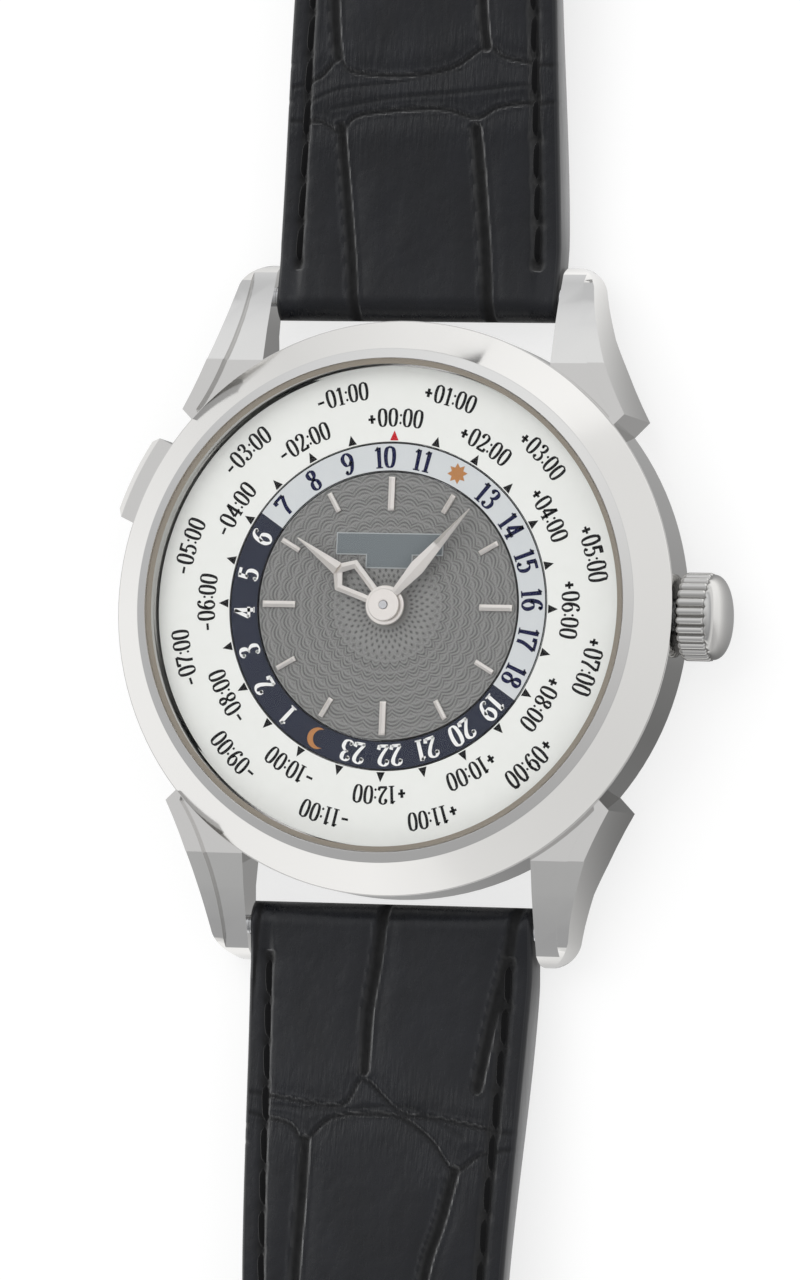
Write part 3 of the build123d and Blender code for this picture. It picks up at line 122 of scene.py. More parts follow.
def levelRows(rows):
    # outlines with equally many points, each at its own level; the sections run across the outlines
    return np.stack([atLevel(outline, level) for outline, level in rows], 1).reshape(-1, 3)


def joinParts(parts):
    # several (points, faces) become one, with the face numbers moved on
    points, faces, start = [], [], 0
    for partPoints, partFaces in parts:
        points.append(partPoints)
        faces += [[i + start for i in face] for face in partFaces]
        start += len(partPoints)
    return np.vstack(points), faces


def newMesh(name, points, faces):
    mesh = bpy.data.meshes.new(name)
    mesh.from_pydata((np.asarray(points) * mm).tolist(), [], faces)
    return mesh


def newObject(name, data):
    made = bpy.data.objects.new(name, data)
    bpy.context.scene.collection.objects.link(made)
    return made


def readVectors(items, field):
    # three numbers for each point or face of a mesh
    values = np.empty(len(items) * 3, np.float32)
    items.foreach_get(field, values)
    return values.reshape(-1, 3)


def writeValues(mesh, name, values):
    # one number for each point, for a material to read
    mesh.attributes.new(name, "FLOAT", "POINT").data.foreach_set("value", values.astype(np.float32))


def smoothShading(piece, crease):
    piece.data.shade_smooth()
    piece.data.set_sharp_from_angle(angle=math.radians(crease))


def finishPiece(piece, body, replaced, crease):
    smoothShading(piece, crease)
    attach(piece, body)
    if replaced:
        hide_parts(*replaced)
    return piece


def makePiece(name, points, faces, finish, body, slot, replaced=(), crease=35):
    # seams are merged and normals turned outwards
    mesh = newMesh(name, points, faces)
    shell = bmesh.new()
    shell.from_mesh(mesh)
    bmesh.ops.remove_doubles(shell, verts=shell.verts, dist=meshRules["seam"] * mm)
    bmesh.ops.recalc_face_normals(shell, faces=shell.faces)
    shell.to_mesh(mesh)
    shell.free()
    mesh.materials.append(finish)
    return finishPiece(newObject(name, mesh), body, replaced, crease)


def refinePiece(node, finish, body, slot, bevel=0.0):
    # a copy of a CAD piece with merged corners, smooth curves and, if asked, a fine rounded edge
    crease = meshRules["cadCrease"]
    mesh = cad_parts[node].data.copy()
    shell = bmesh.new()
    shell.from_mesh(mesh)
    bmesh.ops.remove_doubles(shell, verts=shell.verts, dist=meshRules["cadSeam"] * mm)
    bmesh.ops.dissolve_limit(shell, angle_limit=math.radians(meshRules["flat"]), verts=shell.verts,
                             edges=shell.edges)
    shell.to_mesh(mesh)
    shell.free()
    mesh.materials.clear()
    mesh.materials.append(finish)
    piece = newObject(node + "Finished", mesh)
    if bevel:
        edge = piece.modifiers.new("edge", "BEVEL")
        edge.width, edge.segments = bevel * mm, meshRules["bevelSegments"]
        edge.limit_method, edge.angle_limit = "ANGLE", math.radians(crease)
    even = piece.modifiers.new("evenShading", "WEIGHTED_NORMAL")
    even.keep_sharp, even.weight = True, meshRules["shadingWeight"]
    return finishPiece(piece, body, (node,), crease)


def roundedProfile(corners, radius, steps=4, support=0.02):
    # Each corner becomes an arc that touches both sides r / tan(half angle) away from it.
    # A support point before and after each arc keeps the flats shading flat.
    points, count = [], len(corners)
    for i, corner in enumerate(corners):
        here = np.array(corner[:2], float)
        before = np.array(corners[i - 1][:2]) - here
        after = np.array(corners[(i + 1) % count][:2]) - here
        room = meshRules["cornerRoom"] * min(np.linalg.norm(before), np.linalg.norm(after))
        before, after = before / np.linalg.norm(before), after / np.linalg.norm(after)
        half = math.acos(np.clip(before @ after, -1, 1)) / 2
        r = corner[2] if len(corner) > 2 else radius
        reach = min(r / math.tan(half), room)
        if reach < meshRules["leastRound"]:
            points.append(here)
            continue
        middle = here + (before + after) / np.linalg.norm(before + after) * reach / math.cos(half)
        turn = math.pi - 2 * half
        t = np.linspace(0, 1, steps + 1)[:, None]
        arc = middle + (np.sin((1 - t) * turn) * (here + before * reach - middle)
                        + np.sin(t * turn) * (here + after * reach - middle)) / math.sin(turn)
        points += [here + before * (reach + support), *arc, here + after * (reach + support)]
    return np.array(points)


def lathe(profile, segments=256, centre=(0, 0)):
    # turns (radius, level) points about an upright axis: x = r cos a, y = r sin a, z = level
    a = np.linspace(0, 2 * np.pi, segments, endpoint=False)[:, None]
    r, z = profile[:, 0], profile[:, 1]
    return (gridPoints(centre[0] + r * np.cos(a), centre[1] + r * np.sin(a), z),
            gridFaces(segments, len(profile), True, True))


def slab(outline, low, high):
    # an upright prism on any outline
    count = len(outline)
    around = np.arange(count)
    nextOne = (around + 1) % count
    sides = np.column_stack([around, nextOne, nextOne + count, around + count]).tolist()
    return (np.vstack([atLevel(outline, low), atLevel(outline, high)]),
            sides + [around[::-1].tolist(), (around + count).tolist()])


def disc(radius, angles):
    # points round the origin at angles in radians
    return np.column_stack([radius * np.cos(angles), radius * np.sin(angles)])


def clockPoint(radius, clock):
    # a place on the dial from its distance and its clockwise angle from 12
    a = np.radians(clock)
    return np.stack([radius * np.sin(a), radius * np.cos(a)], -1)


def turned(points, degrees):
    a = math.radians(degrees)
    return np.column_stack([points[:, 0] * math.cos(a) - points[:, 1] * math.sin(a),
                            points[:, 0] * math.sin(a) + points[:, 1] * math.cos(a)])


def smoothPath(points, steps=8):
    # Catmull-Rom: each span blends its two ends and the two neighbours with the cubic basis
    p = np.array(points, float)
    if len(p) == 2:
        return p
    p = np.vstack([2 * p[0] - p[1], p, 2 * p[-1] - p[-2]])
    t = np.linspace(0, 1, steps, endpoint=False)[None, :, None]
    a, b, c, d = (p[i:len(p) - 3 + i][:, None] for i in range(4))
    curve = 0.5 * (2 * b + (c - a) * t + (2 * a - 5 * b + 4 * c - d) * t**2 + (3 * b - a - 3 * c + d) * t**3)
    return np.vstack([curve.reshape(-1, p.shape[1]), p[-2]])


# Camera at the photograph's angle. The view is a turn away from straight above the dial.
viewPoint = {"tilt": 16.759, "azimuth": -15.211, "roll": 2.364, "right": -0.8072, "up": 2.2496, "distance": 600.0,
             "pixelsPerMm": 15.0359, "dialLevel": 8.0, "frameHeight": 1280, "sensor": 36.0, "clipStart": 20}


def makeCamera():
    v = viewPoint
    tilt, azimuth, roll = (math.radians(v[key]) for key in ("tilt", "azimuth", "roll"))
    back = np.array([math.sin(tilt) * math.cos(azimuth), math.sin(tilt) * math.sin(azimuth), math.cos(tilt)])
    side = np.cross((0, 1, 0), back)
    side /= np.linalg.norm(side)
    top = np.cross(back, side)
    right = side * math.cos(roll) + top * math.sin(roll)
    up = top * math.cos(roll) - side * math.sin(roll)
    place = (back * v["distance"] - right * v["right"] - up * v["up"] + (0, 0, v["dialLevel"])) * mm
    camera = newObject("camera", bpy.data.cameras.new("camera"))
    camera.matrix_world = Matrix([(*row, value) for row, value in zip(np.array([right, up, back]).T, place)]
                                 + [(0, 0, 0, 1)])
    camera.data.sensor_width = v["sensor"]
    camera.data.lens = v["pixelsPerMm"] * v["distance"] * v["sensor"] / v["frameHeight"]
    camera.data.clip_start = v["clipStart"] * mm
    bpy.context.scene.camera = camera


makeCamera()
print("camera set")


# Finishes

def newFinish(name, colour, metallic=0.0, roughness=0.5, **sockets):
    material = bpy.data.materials.new(name)
    material.use_nodes = True
    shader = material.node_tree.nodes["Principled BSDF"]
    shader.inputs["Base Color"].default_value = hexColour(colour)
    shader.inputs["Metallic"].default_value = metallic
    shader.inputs["Roughness"].default_value = roughness
    for socket, value in sockets.items():
        shader.inputs[socket].default_value = value
    return material


def feed(material, output, socket):
    # links a node's output to the material's main shader
    material.node_tree.links.new(output, material.node_tree.nodes["Principled BSDF"].inputs[socket])


def objectNoise(tree, sizes, detail=3.0, rough=0.55):
    # noise in object space; sizes are the width of its features along X, Y and Z
    place = addNode(tree, "TexCoord").outputs["Object"]
    place = addNode(tree, "Mapping", {"Vector": place, "Scale": tuple(perMm(s) for s in sizes)}).outputs[0]
    return addNode(tree, "TexNoise", {"Vector": place, "Scale": 1.0, "Detail": detail, "Roughness": rough}).outputs[0]


def varyRoughness(material, source, low, high):
    spread = addNode(material.node_tree, "MapRange", {"Value": source, "From Min": 0.3, "From Max": 0.7,
                                                      "To Min": low, "To Max": high})
    feed(material, spread.outputs[0], "Roughness")


def varyColour(material, factor, first, second):
    mix = addNode(material.node_tree, "Mix", {0: factor, 6: hexColour(first), 7: hexColour(second)},
                  data_type="RGBA")
    feed(material, mix.outputs[2], "Base Color")


def addBump(material, height, depth, strength=1.0):
    # depth is the real height of the relief
    bump = addNode(material.node_tree, "Bump", {"Height": height, "Distance": depth * mm, "Strength": strength})
    feed(material, bump.outputs[0], "Normal")


def metalFinish(name, colour, roughness, grain=0.4, relief=0.0004):
    # a worked metal surface: faint patches of haze and a very shallow grain
    material = newFinish(name, colour, 1.0, roughness)
    varyRoughness(material, objectNoise(material.node_tree, (6, 6, 6), 2), roughness * 0.7, roughness * 1.35)
    addBump(material, objectNoise(material.node_tree, (grain, grain, grain), 4), relief)
    return material


# Polished white gold gives broad soft mirror bands with a slight haze from wear.
whiteGold = metalFinish("polishedWhiteGold", "#cdccca", 0.09)
# The crown is the same gold, a little darker in colour and a little duller all over.
crownGold = metalFinish("polishedCrownGold", "#bdbcba", 0.12)
# Satin white gold of hands and markers stays pale and pinkish from every side.
handGold = metalFinish("satinWhiteGold", "#ece7e2", 0.42, 0.15, 0.0006)
# Hardened steel, ground and polished: cool and fairly sharp.
polishedSteel = metalFinish("polishedSteel", "#c9cacc", 0.14)
# Steel polished flat on tin: it flashes white or goes dark.
blackPolish = metalFinish("specularSteel", "#b4b7bb", 0.06)
# Brass wheels plated in red gold, circular grained: warm against the rhodium.
gilt = metalFinish("giltBrass", "#d8a45c", 0.22, 0.12, 0.0008)
# Solid yellow gold of the rotor and the jewel settings, finely brushed.
rotorGold = metalFinish("yellowGoldRotor", "#d6b36e", 0.2, 0.2, 0.0008)
# Turned and polished beryllium bronze: redder than the wheels.
balanceMetal = metalFinish("berylliumBronze", "#cf9a5b", 0.16)
# Flame-blued steel: the one blue line in the movement.
blueSpring = metalFinish("blueSteelSpring", "#3f56a8", 0.2)


def stripedPlate(name, colour, stripe, turn):
    # Geneva stripes: a saw-like wave across the plate. The wave texture repeats every pi / (10 * scale).
    material = newFinish(name, colour, 1.0, 0.2)
    tree = material.node_tree
    place = addNode(tree, "TexCoord").outputs["Object"]
    place = addNode(tree, "Mapping", {"Vector": place, "Rotation": (0, 0, math.radians(turn))}).outputs[0]
    wave = addNode(tree, "TexWave", {"Vector": place, "Scale": perMm(stripe) * math.pi / 10, "Distortion": 0.0},
                   wave_type="BANDS", bands_direction="X", wave_profile="SAW").outputs["Fac"]
    varyRoughness(material, wave, 0.14, 0.3)
    addBump(material, wave, 0.02)
    return material


# Rhodium-plated bridges with broad straight stripes that flash one after another.
stripedBridge = stripedPlate("stripedRhodiumBridge", "#cfd0d2", 2.6, 48)


def pearledPlate():
    # overlapping ground spots: rings from the cells of a Voronoi pattern
    spots = {"pitch": 0.9, "rings": 26.0, "relief": 0.003}
    material = newFinish("pearledRhodiumPlate", "#c6c7c9", 1.0, 0.25)
    tree = material.node_tree
    place = addNode(tree, "TexCoord").outputs["Object"]
    cells = addNode(tree, "TexVoronoi", {"Vector": place, "Scale": perMm(spots["pitch"]), "Randomness": 0.15})
    rings = addNode(tree, "Math", {0: cells.outputs["Distance"], 1: spots["rings"]}, operation="MULTIPLY")
    wave = addNode(tree, "Math", {0: rings.outputs[0]}, operation="SINE")
    addBump(material, wave.outputs[0], spots["relief"])
    varyRoughness(material, cells.outputs["Distance"], 0.16, 0.36)
    return material


mainPlateFinish = pearledPlate()


def clearCrystal(name):
    # Sapphire, polished and coated: clear, hardly bent at its edge, with a thin bright reflection.
    material = newFinish(name, "#ffffff", 0.0, 0.0, **{"Transmission Weight": 1.0, "IOR": 1.1, "Coat Weight": 0.12})
    tree = material.node_tree
    rays = addNode(tree, "LightPath").outputs
    lit = addNode(tree, "Math", {0: rays["Is Shadow Ray"], 1: rays["Is Diffuse Ray"]}, operation="MAXIMUM")
    mixed = addNode(tree, "MixShader", {0: lit.outputs[0], 1: tree.nodes["Principled BSDF"].outputs[0],
                                        2: addNode(tree, "BsdfTransparent").outputs[0]})
    tree.links.new(mixed.outputs[0], tree.nodes["Material Output"].inputs["Surface"])
    return material


crystalFinish = clearCrystal("sapphireCrystal")
# Moulded nylon seal: a dull warm line round the dial, seen through the crystal's edge.
gasketNylon = newFinish("warmGreyNylon", "#8f877b", 0.0, 0.6, **{"Specular IOR Level": 0.2})
# Polished synthetic ruby: deep red with a glassy glint.
ruby = newFinish("rubyJewel", "#b3123a", 0.0, 0.05, **{"Transmission Weight": 0.35, "IOR": 1.77})


def printedInk(name, colour, roughness=0.45):
    # pad-printed enamel ink, slightly raised, with an uneven film
    material = newFinish(name, colour, 0.0, roughness, **{"Specular IOR Level": 0.15})
    film = objectNoise(material.node_tree, (0.25, 0.25, 0.25), 2)
    addBump(material, film, 0.002)
    varyRoughness(material, film, roughness - 0.08, roughness + 0.08)
    return material


blackInk = printedInk("blackEnamelInk", "#111113")
redInk = printedInk("redEnamelInk", "#c4202b")
navyInk = printedInk("navyEnamelInk", "#10143c")
whiteInk = printedInk("whiteEnamelInk", "#f6f6f4")
plaqueEdge = printedInk("paleEdgeInk", "#b4b8b9")
# Ink with copper flakes: a flat warm brown for sun and moon.
copperInk = newFinish("copperFlakeInk", "#b98150", 0.0, 0.4, **{"Specular IOR Level": 0.2})


def lacquer(name, colour, shade, roughness=0.45):
    # sprayed dial lacquer: an even silk surface with a very faint mottle under a clear coat
    material = newFinish(name, colour, 0.0, roughness, **{"Specular IOR Level": 0.2})
    varyColour(material, objectNoise(material.node_tree, (1.2, 1.2, 1.2), 4), colour, shade)
    addBump(material, objectNoise(material.node_tree, (0.05, 0.05, 0.05), 2), 0.0006)
    return material


cityLacquer = lacquer("opalineCityLacquer", "#f5f6f2", "#f0f1ec")
dayLacquer = lacquer("silverDayLacquer", "#dadddd", "#d2d6d8", 0.35)
nightLacquer = lacquer("slateNightLacquer", "#2b3040", "#272b39", 0.35)
# Flat grey lacquer of the plaque, without mottle: it is too small to show one.
plaqueLacquer = newFinish("slatePlaqueLacquer", "#747b7e", 0.0, 0.45, **{"Specular IOR Level": 0.2})

# Grey translucent enamel over engine turning: its colour is darker where the relief is deep, partly from the thicker
# enamel in the cuts and partly as painted shade in them.
dialFinish = newFinish("engineTurnedEnamel", "#838381", 0.0, 0.3, **{"Specular IOR Level": 0.3})
varyColour(dialFinish, addNode(dialFinish.node_tree, "Attribute", attribute_name="relief").outputs["Fac"],
           "#8c8c8a", "#5d5d5c")


def alligatorLeather():
    # Glazed black alligator: silky scales with a faint grain, fine wrinkles along the strap where scales meet,
    # and dull creases painted nearly black as painted shade in the hollows.
    material = newFinish("glazedBlackAlligator", "#17181b", 0.0, 0.34, **{"Specular IOR Level": 0.3})
    tree = material.node_tree
    shader = tree.nodes["Principled BSDF"]
    varyColour(material, objectNoise(tree, (3.0, 5.0, 3.0), 3), "#06070a", "#14161c")
    scale = shader.inputs["Base Color"].links[0].from_socket
    crease, wrinkle = (addNode(tree, "Attribute", attribute_name=name).outputs["Fac"]
                       for name in ("crease", "wrinkle"))
    # painted shade: creases, the stitch furrow and the pits turn nearly black
    dark = addNode(tree, "Mix", {0: crease, 6: scale, 7: hexColour("#040405")}, data_type="RGBA")
    feed(material, dark.outputs[2], "Base Color")
    grain = objectNoise(tree, (0.35, 0.6, 0.5), 6, 0.62)
    streaks = objectNoise(tree, (0.22, 1.8, 0.8), 3, 0.6)
    swell = objectNoise(tree, (2.4, 3.4, 2.4), 2)
    varyRoughness(material, grain, 0.2, 0.4)
    smooth = shader.inputs["Roughness"].links[0].from_socket
    dull = addNode(tree, "Math", {0: crease, 1: 0.4, 2: smooth}, operation="MULTIPLY_ADD")
    feed(material, dull.outputs[0], "Roughness")
    # height = grain + 9 * streaks * wrinkle + 5 * swell
    lines = addNode(tree, "Math", {0: streaks, 1: wrinkle}, operation="MULTIPLY")
    height = addNode(tree, "Math", {0: lines.outputs[0], 1: 9.0, 2: grain}, operation="MULTIPLY_ADD")
    height = addNode(tree, "Math", {0: swell, 1: 5.0, 2: height.outputs[0]}, operation="MULTIPLY_ADD")
    addBump(material, height.outputs[0], 0.03, 0.8)
    return material


strapLeather = alligatorLeather()
# Matt calf lining: short soft pores in every direction.
strapLining = newFinish("mattCalfLining", "#191a1c", 0.0, 0.62)
pores = addNode(strapLining.node_tree, "TexVoronoi", {
    "Vector": addNode(strapLining.node_tree, "TexCoord").outputs["Object"], "Scale": perMm(0.3)})
addBump(strapLining, pores.outputs["Distance"], 0.02)
# Painted strap edge: thick dark lacquer, polished smooth.
edgePaint = newFinish("polishedEdgePaint", "#1b1c1f", 0.0, 0.3, **{"Specular IOR Level": 0.35})
addBump(edgePaint, objectNoise(edgePaint.node_tree, (0.8, 2.0, 0.8), 2), 0.02)
# Waxed linen thread: black strands twisted along the stitch.
waxedThread = newFinish("waxedBlackThread", "#060607", 0.0, 0.7, **{"Specular IOR Level": 0.15})
addBump(waxedThread, objectNoise(waxedThread.node_tree, (0.08, 0.12, 0.08), 3), 0.02)
print("finishes made")


# Floor, world and lamps. To mirror rays the table shows a painted reflection, brighter or darker round the object
# as white cards and a dark flag would make it, and a painted shadow near the case: paintedMirrorRing holds (degrees,
# level) of the painted reflection, and paintedShadeReach the two distances between which the painted shadow brightens.
studio = {"floorSize": 3000, "floorDrop": 0.05, "glow": 0.62, "glowLevel": 1.17, "worldLevel": 0.78,
          "paintedReflectionLevel": 1.6, "mirroredWorld": 1.15, "wallSwing": 0.85, "paintedShadeReach": (21, 31), "paintedShadeLevel": 0.28,
          "paintedMirrorRing": [(0, 0.84), (20, 0.97), (45, 1.0), (75, 0.9), (95, 0.82), (122, 0.66), (150, 0.74),
                         (180, 0.82), (225, 0.83), (255, 0.88), (282, 0.77), (300, 0.63), (318, 0.52),
                         (335, 0.46), (350, 0.55)],
          "roomRamp": [(0.22, "#fafafa"), (0.42, "#bcbdbf"), (0.6, "#d8d9db"), (0.8, "#e4e5e6")]}


def pureWhenSeen(tree):
    # 1 for camera, mirror and glass rays, so that metal and glass show the same pale room
    rays = addNode(tree, "LightPath").outputs
    first = addNode(tree, "Math", {0: rays["Is Camera Ray"], 1: rays["Is Glossy Ray"]}, operation="MAXIMUM")
    return addNode(tree, "Math", {0: first.outputs[0], 1: rays["Is Transmission Ray"]},
                   operation="MAXIMUM").outputs[0]


def mirrorCards(tree, place):
    # the level of the painted reflection from paintedMirrorRing by the angle round the object, 0 to 1 being a full turn
    parts = addNode(tree, "SeparateXYZ", {0: place}).outputs
    turn = addNode(tree, "Math", {0: parts["Y"], 1: parts["X"]}, operation="ARCTAN2")
    share = addNode(tree, "Math", {0: turn.outputs[0], 1: 2 * math.pi}, operation="DIVIDE")
    share = addNode(tree, "Math", {0: share.outputs[0], 1: 1.0}, operation="FLOORED_MODULO")
    cards = addNode(tree, "ValToRGB", {0: share.outputs[0]})
    stops = cards.color_ramp.elements
    stops[0].position, stops[1].position = 0.0, 1.0
    stops[0].color = stops[1].color = (studio["paintedMirrorRing"][0][1],) * 3 + (1,)
    for degrees, level in studio["paintedMirrorRing"][1:]:
        stops.new(degrees / 360).color = (level,) * 3 + (1,)
    return cards.outputs[0]


def makeFloor():
    half = studio["floorSize"] / 2
    level = cadBox[0].z / mm - studio["floorDrop"]
    corners = [(-half, -half, level), (half, -half, level), (half, half, level), (-half, half, level)]
    floor = newObject("floor", newMesh("floor", corners, [(0, 1, 2, 3)]))
    paper = newFinish("paleStudioPaper", "#f4f4f3", 0.0, 0.9)
    tree = paper.node_tree
    mirrored = addNode(tree, "LightPath").outputs["Is Glossy Ray"]
    place = addNode(tree, "TexCoord").outputs["Object"]
    # painted shadow: under the case the paper mirrors dark, so that upright walls read darker than slopes
    reach = addNode(tree, "VectorMath", {0: place}, operation="LENGTH")
    near, far = studio["paintedShadeReach"]
    fade = addNode(tree, "MapRange", {"Value": reach.outputs["Value"], "From Min": near * mm, "From Max": far * mm,
                                      "To Min": studio["paintedShadeLevel"], "To Max": 1.0}, interpolation_type="SMOOTHSTEP")
    # painted reflection: to mirror rays the paper glows at the ring's level round the object, dimmed near the case
    shine = addNode(tree, "Math", {0: mirrorCards(tree, place), 1: studio["paintedReflectionLevel"]}, operation="MULTIPLY")
    shine = addNode(tree, "Math", {0: shine.outputs[0], 1: fade.outputs[0]}, operation="MULTIPLY")
    strength = addNode(tree, "MapRange", {"Value": mirrored, "To Min": studio["glowLevel"], "To Max": shine.outputs[0]})
    glow = addNode(tree, "Emission", {"Color": hexColour("#ffffff"), "Strength": strength.outputs[0]})
    share = addNode(tree, "Math", {0: pureWhenSeen(tree), 1: studio["glow"]}, operation="MULTIPLY")
    share = addNode(tree, "Math", {0: share.outputs[0], 1: mirrored}, operation="MAXIMUM")
    mixed = addNode(tree, "MixShader", {0: share.outputs[0], 1: tree.nodes["Principled BSDF"].outputs[0],
                                        2: glow.outputs[0]})
    tree.links.new(mixed.outputs[0], tree.nodes["Material Output"].inputs["Surface"])
    floor.data.materials.append(paper)


def makeWorld():
    # a soft room with a grey band between the bright horizon and the ceiling, so that polished metal has
    # something to show; what lights the object is a little less than what metal and glass mirror
    world = bpy.data.worlds.new("room")
    bpy.context.scene.world = world
    world.use_nodes = True
    tree = world.node_tree
    parts = addNode(tree, "SeparateXYZ", {0: addNode(tree, "TexCoord").outputs["Generated"]}).outputs
    ramp = addNode(tree, "ValToRGB", {0: parts["Z"]})
    stops = ramp.color_ramp.elements
    stops[0].position, stops[0].color = 0.0, hexColour("#ffffff")
    stops[1].position, stops[1].color = 0.95, hexColour("#e0e0e1")
    for position, colour in studio["roomRamp"]:
        stops.new(position).color = hexColour(colour)
    background = tree.nodes["Background"]
    tree.links.new(ramp.outputs[0], background.inputs["Color"])
    # the upper wall behind 12 o'clock is brighter than the one behind 6: mirroredWorld + wallSwing * Y * Z
    high = addNode(tree, "Math", {0: parts["Z"], 1: parts["Y"]}, operation="MULTIPLY")
    wall = addNode(tree, "Math", {0: high.outputs[0], 1: studio["wallSwing"], 2: studio["mirroredWorld"]},
                   operation="MULTIPLY_ADD")
    level = addNode(tree, "MapRange", {"Value": pureWhenSeen(tree), "To Min": studio["worldLevel"],
                                       "To Max": wall.outputs[0]})
    tree.links.new(level.outputs[0], background.inputs["Strength"])


def makeLamp(name, place, size, power):
    # place and size in metres; it looks at the dial and only lights: what metal mirrors is the world and the table
    data = bpy.data.lights.new(name, "AREA")
    data.shape, data.size, data.size_y, data.energy = "RECTANGLE", size[0], size[1], power
    lamp = newObject(name, data)
    lamp.location = place
    lamp.visible_glossy = lamp.visible_transmission = False
    lamp.rotation_euler = (-Vector(place)).to_track_quat("-Z", "Y").to_euler()
    return lamp


makeFloor()
makeWorld()
makeLamp("keySoftbox", (-0.45, 0.45, 0.9), (1.0, 1.0), 4.6)
makeLamp("sideSoftbox", (0.8, 0.1, 0.45), (0.6, 1.0), 1.3)
makeLamp("frontSoftbox", (-0.1, -0.8, 0.65), (1.0, 0.5), 1.1)
print("studio set")


# Case, bezel, back, crown and pusher
caseSizes = {"segments": 360, "lugBevel": 0.07, "pusherBevel": 0.12, "frameBevel": 0.18, "tongueBevel": 0.16,
             "bezelEdge": 0.05, "slopeRadius": 17.15, "slopeLevel": 9.1, "lipRadius": 16.46, "ledgeRadius": 16.05,
             "lipRound": 0.12, "ledgeRound": 0.02, "seatGap": 0.012, "gasketInset": 0.02, "gasketDrop": 0.004,
             "fineEdge": 0.04, "domeFoot": 0.45, "softEdge": 0.1, "domeInset": 0.85, "domeRound": 0.25,
             "backWindow": 13.45, "backLedge": 13.0, "ledgeLevel": 1.0, "backFlat": 16.8, "backRim": 18.3,
             "backGlassEdge": 0.06, "backGlassInner": 0.03}


def makeTurned(name, corners, finish, slot, node):
    # a piece of the case turned from corners of (radius, level, rounding)
    makePiece(name, *lathe(roundedProfile(corners, 0), caseSizes["segments"]), finish, "case", slot, (node,))


def makeBezel():
    c = caseSizes
    low, high = nodeBox("bezel")
    ledge = nodeBox("crystal")[0][2]
    makeTurned("bezelPolished", [
        (high[0], low[2], c["bezelEdge"]), (c["slopeRadius"], c["slopeLevel"], c["lipRound"]),
        (c["lipRadius"], high[2], c["bezelEdge"]), (c["lipRadius"], ledge, c["ledgeRound"]),
        (c["ledgeRadius"], ledge, c["ledgeRound"]), (c["ledgeRadius"], low[2], c["ledgeRound"])],
        whiteGold, "case_metal", "bezel")


def makeCrystal():
    c = caseSizes
    low, high = nodeBox("crystal")
    seat = low[2] + c["seatGap"]
    makeTurned("crystalDome", [
        (0, seat, 0), (high[0], seat, c["fineEdge"]), (high[0], high[2] - c["domeFoot"], c["softEdge"]),
        (high[0] - c["domeInset"], high[2], c["domeRound"]), (0, high[2], 0)],
        crystalFinish, "crystal_glass", "crystal")
    inner, outer, top = c["ledgeRadius"], c["lipRadius"] - c["gasketInset"], seat - c["gasketDrop"]
    gasket = np.array([(inner, low[2]), (outer, low[2]), (outer, top), (inner, top)])
    makePiece("crystalGasket", *lathe(gasket, c["segments"]), gasketNylon, "case", "crystal_glass")


def makeBackRing():
    c = caseSizes
    top = nodeBox("case_back")[1][2]
    makeTurned("caseBackPolished", [
        (c["backWindow"], 0, c["fineEdge"]), (c["backFlat"], 0, c["softEdge"]), (c["backRim"], top, c["fineEdge"]),
        (c["backLedge"], top, c["fineEdge"]), (c["backLedge"], c["ledgeLevel"], c["ledgeRound"]),
        (c["backWindow"], c["ledgeLevel"], c["ledgeRound"])], whiteGold, "back_metal", "case_back")
    low, high = nodeBox("back_crystal")
    makeTurned("backCrystalPolished", [
        (0, low[2], 0), (high[0], low[2], c["backGlassEdge"]), (high[0], high[2], c["backGlassInner"]),
        (0, high[2], 0)], crystalFinish, "crystal_glass", "back_crystal")


crownSizes = {"flutes": 27, "fluteDepth": 0.3, "ribPower": 2.4, "edgeRound": 0.34, "perFlute": 14,
              "axisLevel": 3.8, "fluteEnd": 21.2, "fluteFade": 0.16, "bandInset": 0.62, "bandFade": 0.3,
              "domePower": 0.75, "domeSteps": 16, "boreRadius": 1.26, "boreDepth": 1.15, "boreRound": 0.02,
              "stepDrop": 0.1, "stepLength": 0.1, "stepRound": 0.05, "gridStep": 0.12}


def makeCrown():
    # A profile (x, r) turned about the crown's axis. In the fluted band the radius becomes
    # r - depth * band(x, r) * |2 f - 1| ^ ribPower, where f runs from 0 to 1 across one rib.
    s = crownSizes
    low, high = nodeBox("crown")
    radius = (high[1] - low[1]) / 2
    rim = radius - s["stepDrop"]
    start = s["fluteEnd"] + s["stepLength"]
    bow = np.linspace(0, math.pi / 2, s["domeSteps"])
    dome = np.column_stack([start + (high[0] - start) * np.sin(bow), rim * np.cos(bow) ** s["domePower"]])
    corners = [(low[0] + s["boreDepth"], 0, 0), (low[0] + s["boreDepth"], s["boreRadius"], 0),
               (low[0], s["boreRadius"], s["boreRound"]), (low[0], radius, s["edgeRound"]),
               (s["fluteEnd"] - s["stepRound"], radius, s["stepRound"]),
               (start - s["stepRound"], rim, s["boreRound"])]
    profile = np.vstack([roundedProfile(corners, 0, 6), dome])
    dense = []
    for start, end in zip(profile, np.roll(profile, -1, 0)):
        steps = max(1, int(np.linalg.norm(end - start) / s["gridStep"]))
        dense += [start + (end - start) * k / steps for k in range(steps)]
    x, r = np.array(dense).T
    a = np.linspace(0, 2 * np.pi, s["flutes"] * s["perFlute"], endpoint=False)[:, None]
    band = (np.clip((r - (radius - s["bandInset"])) / s["bandFade"], 0, 1)
            * np.clip((s["fluteEnd"] - x) / s["fluteFade"] + 1, 0, 1))
    across = (s["flutes"] * a / (2 * np.pi)) % 1
    shaped = r - s["fluteDepth"] * band * np.abs(2 * across - 1) ** s["ribPower"]
    points = gridPoints(x, shaped * np.cos(a), s["axisLevel"] + shaped * np.sin(a))
    makePiece("crownFluted", points, gridFaces(len(a), len(dense), True, True), crownGold, "crown", "crown_metal",
              ("crown",), 50)


